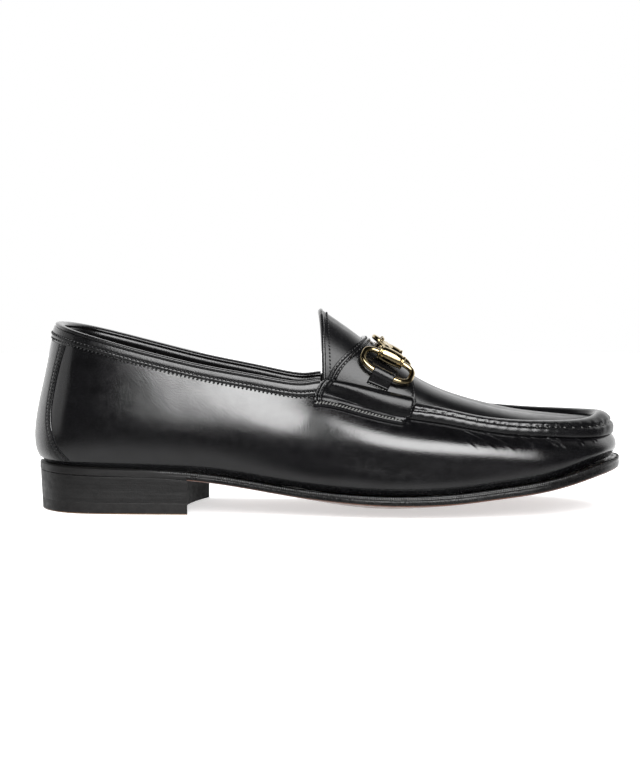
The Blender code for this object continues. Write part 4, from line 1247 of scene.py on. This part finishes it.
def add_insole():
    """The sock on the footbed, with a row of stitches round it."""
    shares = np.linspace(-1, 1, 41)
    ribs = np.linspace(0.35, RIBS - 0.35, 130).tolist()
    outer, inner = [], []
    for rib in ribs:
        line = across_line(rib, edge_of(rib)[2] + FEATHER_TUCK + INSOLE_INSET, shares, over)
        away = (1 - np.abs(shares)) * abs(line[0][1] - line[-1][1]) / 2
        height = GAP * 2 + INSOLE_THICKNESS - edge_drop(away, 0.001, 0.0008)
        height = height - 0.00012 * bell(away - SOCK_INSET, 0.0005)
        outer.append([(x, y, z + lift) for (x, y, z), lift in zip(line, height)])
        inner.append([(x, y, z + GAP * 2) for x, y, z in line])
    outer, inner = np.array(outer), np.array(inner)
    add_shell("sock", outer, inner, [LINING], "lining", ["insole"])
    sheet = Sheet(outer, np.tile(np.array([0, 0, 1.0]), (*outer.shape[:2], 1)))
    across = [run_along(line) for line in outer]
    near = [index_at(run, SOCK_INSET) for run in across]
    far = [index_at(run, run[-1] - SOCK_INSET) for run in across]
    runs = [sewn(sheet, range(len(ribs)), spots, 0.00005, SOCK_STITCH) for spots in (near, far)]
    add_stitches("sock_stitches", runs, thread("sock_thread", (0.42, 0.30, 0.19)), "lining")


# Snaffle bit

BARREL_SWELL = 1.1  # seen size of the barrel over its driving size
SEEN_EYE = 0.0019  # radius of the eye at the end of each arm
LINK_LIFT = 0.0030  # middle of the link above the crown of the strap
LINK_ROUND, RING_ROUND, EYE_ROUND = (2.4, 2.4), (4.0, 2.5), (2, 2)  # powers of the ovals' halves
BARREL_RISE = 0.0004  # middle of the barrel above the ring's wire
STRAP_TOP = SKIN_GAP + STRAP_THICKNESS

# Barrel: place along it, radius as a share of the way from its waist to its full radius
BARREL = (
    (-1.00, -0.60), (-0.995, 0.10), (-0.975, 0.62), (-0.93, 0.98), (-0.87, 0.98), (-0.835, 0.55),
    (-0.815, 0.10), (-0.79, 0.10), (-0.77, 0.50), (-0.74, 0.72), (-0.60, 1.00), (-0.40, 1.24), (-0.20, 1.38),
    (0.0, 1.42),
    (0.20, 1.38), (0.40, 1.24), (0.60, 1.00), (0.74, 0.72), (0.77, 0.50), (0.79, 0.10), (0.815, 0.10),
    (0.835, 0.55), (0.87, 0.98), (0.93, 0.98), (0.975, 0.62), (0.995, 0.10), (1.00, -0.60),
)


class Bed:
    """A flat place on the strap: along is down the slope to the toe, across to the wing, up away from it."""

    def __init__(self, side, rib, up, lift):
        normal = unit(skin_normal(side * rib, up))
        ahead = skin(side * (rib + 0.3), up) - skin(side * (rib - 0.3), up)
        self.along = unit(ahead - normal * ahead.dot(normal))
        self.up = normal
        self.across = np.cross(self.along, self.up)
        if self.across[1] * side < 0:
            self.across = -self.across
        self.base = skin(side * rib, up) + normal * STRAP_TOP
        self.lift = lift
        rows, heights = [], []
        for near in (rib - 0.6, rib, rib + 0.6):
            for at in np.linspace(3.05, 3.7, 9):
                away = lifted(side * near, at, STRAP_TOP) - self.base
                rows.append(self.terms(away.dot(self.along), away.dot(self.across)))
                heights.append(away.dot(self.up))
        self.fit = np.linalg.lstsq(np.array(rows), np.array(heights), rcond=None)[0]

    @staticmethod
    def terms(along, across):
        return [1.0, along, across, along**2, along * across, across**2, across**3]

    def over_strap(self, along, across, lift):
        """Place across and height over the lifted plane of a point a little above the strap."""
        return across, float(np.dot(self.fit, self.terms(along, across))) - self.lift + GAP * 2 + lift

    def point(self, along, across, up):
        return self.base + self.along * along + self.across * across + self.up * (up + self.lift)


def sweep(path, frames, radii, sides):
    """Round loops along a path."""
    return [hoop(at, *ways, radius, radius, sides) for at, ways, radius in zip(path, frames, radii)]


def ring_loops(at, size, wire, powers, count, sides, ways):
    """An oval of wire. powers round its half on the side of minus y_way, and its other half."""
    normal, x_way, y_way = ways
    path = []
    for k in range(count):
        c, s = cos(2 * pi * k / count), sin(2 * pi * k / count)
        power = 2 / powers[0 if s < 0 else 1]
        x, y = np.sign(c) * abs(c) ** power * size[0] / 2, np.sign(s) * abs(s) ** power * size[1] / 2
        path.append(at + x_way * x + y_way * y)
    whole = np.array(path + path[:1])
    run = run_along(whole)
    even = np.linspace(0, run[-1], count, endpoint=False)
    path = np.column_stack([np.interp(even, run, whole[:, k]) for k in range(3)])
    for _ in range(3):
        path = (np.roll(path, 1, 0) + 2 * path + np.roll(path, -1, 0)) / 4
    frames = [(unit(np.cross(path[(k + 1) % count] - path[k - 1], normal)), normal) for k in range(count)]
    return sweep(path, frames, [wire] * count, sides)


def add_gold(name, loops, nodes=(), ring=True, sharp=70):
    add_tube(name, loops, [GOLD], "pale_gold", nodes, ring=ring, sharp=sharp)


def add_bit():
    """Two rings on the strap, and the chain between them: barrels, arms with eyes, and one link."""
    middle = Bed(1, RING_RIB, 3.99, 0.0)
    crown = middle.base * (1, 0, 1)
    slope = unit(middle.along * (1, 0, 1))
    across = np.array([0.0, 1.0, 0.0])
    up = np.cross(slope, across)
    up *= np.sign(up[2])
    centre = crown + up * LINK_LIFT
    ways = (up, slope, across)
    loops = ring_loops(centre, (LINK_WIDTH, LINK_LENGTH), LINK_WIRE * 1.25, LINK_ROUND, 120, 20, ways)
    add_gold("bit_link", loops, ["centre_link"])
    for side, name in ((-1, "lateral"), (1, "medial")):
        bed = Bed(side, RING_RIB, RING_PLACE, RING_LIFT)
        size, bed_ways = (RING_LENGTH, RING_WIDTH), (bed.up, bed.along, bed.across)
        loops = ring_loops(bed.point(0, 0, 0), size, RING_WIRE, RING_ROUND, 360, 24, bed_ways)
        add_gold("bit_ring_" + name, loops, ["ring_" + name])
        add_bar(name, bed, centre + across * side * (LINK_LENGTH / 2), side, (slope, across, up))
        add_tab(name, bed)


def add_bar(name, bed, eye_centre, side, ways):
    """Barrel round the ring's inner bar, its arm and the eye through the link."""
    hole = RING_WIRE + GAP * 2.5
    centre = bed.point(0, -RING_WIDTH / 2, BARREL_RISE)
    reach = BARREL_RADIUS - BARREL_WAIST
    profile = [(a, BARREL_SWELL * (BARREL_WAIST + reach * share)) for a, share in BARREL]
    profile = [(-0.97, hole)] + profile + [(0.97, hole)]
    half = bed.along * BARREL_LENGTH * BARREL_SWELL / 2
    spokes = hoop(np.zeros(3), bed.across, bed.up, 1.0, 1.0, 64)
    loops = [[centre + half * a + way * r for a, r in profile] for way in spokes]
    add_gold("bit_barrel_" + name, loops, ["bar_" + name], sharp=40)
    start = centre - bed.across * (hole + BARREL_RADIUS) / 2
    ahead = eye_centre + ways[1] * side * SEEN_EYE - start
    first = unit(np.cross(ahead, bed.along))
    second = unit(np.cross(ahead, first))
    shares = np.linspace(0, 1, 24)
    radii = [ARM_RADIUS * (0.95 - 0.2 * share + 0.22 * float(bell(share - 0.5, 0.16))) for share in shares]
    loops = sweep([start + ahead * share for share in shares], [(first, second)] * len(shares), radii, 24)
    add_gold("bit_arm_" + name, loops, ring=False, sharp=60)
    loops = ring_loops(eye_centre, (SEEN_EYE * 2, SEEN_EYE * 2), ARM_RADIUS * 0.62, EYE_ROUND, 72, 18, ways)
    add_gold("bit_eye_" + name, loops)


def arc(middle, radius, degrees):
    """Points of a bend round the ring's outer wire: place across, height."""
    return [(middle + radius * cos(radians(d)), radius * sin(radians(d))) for d in degrees]


def add_tab(name, bed):
    """Leather loop over the ring's outer bar, sewn down beside it."""
    inner = RING_WIRE + GAP
    outer = inner + TAB_THICKNESS
    middle = RING_WIDTH / 2
    end = middle + outer + TAB_TAIL
    loops = []
    for share in np.linspace(-1, 1, 41):
        wide = TAB_WIDTH / 2 * share
        drop = float(edge_drop((1 - abs(share)) * TAB_WIDTH / 2, 0.0006, 0.0005))
        thick = TAB_THICKNESS - drop
        spots = ((end, 0), (end, thick * 0.5), (end - 0.0003, thick), (end - TAB_TAIL * 0.3, thick))
        spots += ((end - TAB_TAIL * 0.6, thick - 0.0002), (end - TAB_TAIL * 0.9, thick))
        points = [bed.over_strap(wide, away, lift) for away, lift in spots]
        points += arc(middle, outer - drop, [*range(0, 181, 10), 200, 219, 238])
        points += arc(middle, inner, range(230, -21, -14))
        points.append(bed.over_strap(wide, middle + inner + 0.0002, 0))
        loops.append([bed.point(wide, away, up) for away, up in points])
    add_tube("bit_tab_" + name, loops, [STRAP_CALF], "strap_calf", ["tab_" + name], sharp=60)
    line = []
    for wide in TAB_WIDTH / 2 * np.linspace(-0.9, 0.9, 24):
        away, up = bed.over_strap(wide, end - 0.0002, 0.0003)
        line.append(bed.point(wide, away + 0.0005, up))
    run = stitch_bodies(np.array(line), np.tile(bed.up, (len(line), 1)), TAB_STITCH)
    # The tab's stitches use the thread painted pale grey: painted sheen
    add_stitches("tab_stitches_" + name, [run], SHEEN_PAINTED_THREAD, "trim_calf")


add_upper()
apron_sheet = add_apron()
add_seam()
add_binding()
add_back_strip()
add_strap()
add_tongue_edge(apron_sheet)
add_outsole()
add_wheeling()
add_heels()
add_insole()
add_bit()


# Floor, light and camera

SHOE_MIDDLE = Vector((0.11, 0.0, 0.05))
FLOOR_REACH = 1.35
FLOOR_SIDES = 96
FLOOR_EMISSION = 0.55
FLOOR_LIGHT, FLOOR_LIGHT_ANGLE = 2.9, 70
ROOM_LIGHT = 0.03
FLOOR_GLOW = 0.5
BACKDROP_LIGHT = 1.7
KEY_MIDDLE = Vector((0.254, -0.56, 0.37))
KEY_TARGET = Vector((0.17, 0.0, 0.05))
KEY_WIDTH = 0.54
STRIP_HEIGHT = 0.1067

# Key light's strips from the lowest up: radiance, how much further they reach to the heel
KEY_STRIPS = ((0.6, 0.0), (4.4, 0.03), (6.4, 0.06), (6.6, 0.04), (6.6, 0.03), (5.8, 0.02), (3.2, 0.0))

# Panel at the heel: azimuth from the camera's side towards the toe, elevation, distance, size, radiance
HEEL_PANEL = (-86, 12, 1.2, (0.6, 0.7), 0.42)

# Camera: focal length in pixels of the photo, the photo's height, sensor, place, degrees down and to the left
FOCAL_PIXELS = 1840.0
PHOTO_HEIGHT = 768.0
SENSOR = 36.0
EYE = (0.1105, -0.95, 0.137)
EYE_DOWN = 4.42
EYE_LEFT = 0.28


def add_panel(name, middle, target, size, radiance):
    """A rectangle of light that looks at its target and isn't seen."""
    light = bpy.data.lights.new(name, "AREA")
    light.shape = "RECTANGLE"
    light.size, light.size_y = size
    light.energy = radiance * pi * size[0] * size[1]
    made = bpy.data.objects.new(name, light)
    made.location = middle
    made.rotation_euler = (target - middle).to_track_quat("-Z", "Y").to_euler()
    made.visible_camera = False
    bpy.context.scene.collection.objects.link(made)


def add_key():
    """The main softbox as stacked strips, dimmer at its lowest and its highest edge."""
    rise = (KEY_TARGET - KEY_MIDDLE).to_track_quat("-Z", "Y") @ Vector((0, 1, 0)) * STRIP_HEIGHT
    for k, (radiance, further) in enumerate(KEY_STRIPS):
        shift = rise * (k - (len(KEY_STRIPS) - 1) / 2) - Vector((further / 2, 0, 0))
        size = (KEY_WIDTH + further, STRIP_HEIGHT)
        add_panel("key_" + str(k), KEY_MIDDLE + shift, KEY_TARGET + shift, size, radiance)


def add_heel_panel():
    """A dim panel that lights the back of the shoe."""
    azimuth, elevation, distance, size, radiance = HEEL_PANEL
    a, e = radians(azimuth), radians(elevation)
    middle = SHOE_MIDDLE + Vector((sin(a) * cos(e), -cos(a) * cos(e), sin(e))) * distance
    add_panel("left", middle, SHOE_MIDDLE, size, radiance)


def add_floor():
    """A pale disc with a little light of its own, which no reflection shows."""
    angles = [2 * pi * k / FLOOR_SIDES for k in range(FLOOR_SIDES)]
    ring = [(SHOE_MIDDLE.x + FLOOR_REACH * cos(a), FLOOR_REACH * sin(a), 0.0) for a in angles]
    mesh = bpy.data.meshes.new("floor")
    mesh.from_pydata(ring, [], [tuple(range(FLOOR_SIDES))])
    look = Nodes("pale_floor", (0.80, 0.80, 0.80), 0.8, specular=0.1)
    look.set("Emission Color", (1.0, 1.0, 1.0, 1.0))
    look.set("Emission Strength", FLOOR_EMISSION)
    mesh.materials.append(look.made)
    floor = bpy.data.objects.new("floor", mesh)
    floor.visible_glossy = False
    bpy.context.scene.collection.objects.link(floor)


def add_floor_light():
    """Even light that only the floor takes, so that it is as pale as the backdrop."""
    light = bpy.data.lights.new("floor_light", "SUN")
    light.energy = FLOOR_LIGHT
    light.angle = radians(FLOOR_LIGHT_ANGLE)
    made = bpy.data.objects.new("floor_light", light)
    bpy.context.scene.collection.objects.link(made)
    only = bpy.data.collections.new("floor_only")
    only.objects.link(bpy.data.objects["floor"])
    made.light_linking.receiver_collection = only


def add_world():
    """Seen, all white. Mirrored, a pale backdrop low behind the shoe, a dim room and a glow from below."""
    world = bpy.data.worlds.new("studio")
    world.use_nodes = True
    tree = world.node_tree
    tree.nodes.clear()
    new, link = tree.nodes.new, tree.links.new
    split = new("ShaderNodeSeparateXYZ")
    link(new("ShaderNodeTexCoord").outputs["Generated"], split.inputs[0])

    def ramp(axis, span, values):
        made = new("ShaderNodeMapRange")
        made.interpolation_type = "SMOOTHSTEP"
        for key, number in zip(("From Min", "From Max", "To Min", "To Max"), (*span, *values)):
            made.inputs[key].default_value = number
        link(split.outputs[axis], made.inputs["Value"])
        return made.outputs["Result"]

    def maths(operation, first, second):
        made = new("ShaderNodeMath")
        made.operation = operation
        link(first, made.inputs[0])
        link(second, made.inputs[1])
        return made.outputs["Value"]

    behind = ramp("Y", (0.04, 0.6), (ROOM_LIGHT, BACKDROP_LIGHT))
    low = ramp("Z", (0.50, 0.86), (1.0, 0.04))
    below = ramp("Z", (-0.05, -0.6), (0.0, FLOOR_GLOW))
    room, seen = new("ShaderNodeBackground"), new("ShaderNodeBackground")
    link(maths("MAXIMUM", maths("MULTIPLY", behind, low), below), room.inputs["Strength"])
    seen.inputs["Color"].default_value = (1.0, 1.0, 1.0, 1.0)
    mix = new("ShaderNodeMixShader")
    link(new("ShaderNodeLightPath").outputs["Is Camera Ray"], mix.inputs[0])
    link(room.outputs[0], mix.inputs[1])
    link(seen.outputs[0], mix.inputs[2])
    link(mix.outputs[0], new("ShaderNodeOutputWorld").inputs["Surface"])
    bpy.context.scene.world = world


def add_camera():
    """The photo's camera."""
    camera = bpy.data.cameras.new("camera")
    camera.lens = FOCAL_PIXELS / PHOTO_HEIGHT * SENSOR
    camera.sensor_width = SENSOR
    camera.clip_start = 0.05
    eye = bpy.data.objects.new("camera", camera)
    eye.location = EYE
    eye.rotation_euler = (radians(90.0 - EYE_DOWN), 0.0, radians(EYE_LEFT))
    bpy.context.scene.collection.objects.link(eye)
    bpy.context.scene.camera = eye


add_floor()
add_world()
add_key()
add_heel_panel()
add_floor_light()
add_camera()
bpy.context.scene.view_settings.view_transform = "Standard"
bpy.context.scene.view_settings.look = "None"
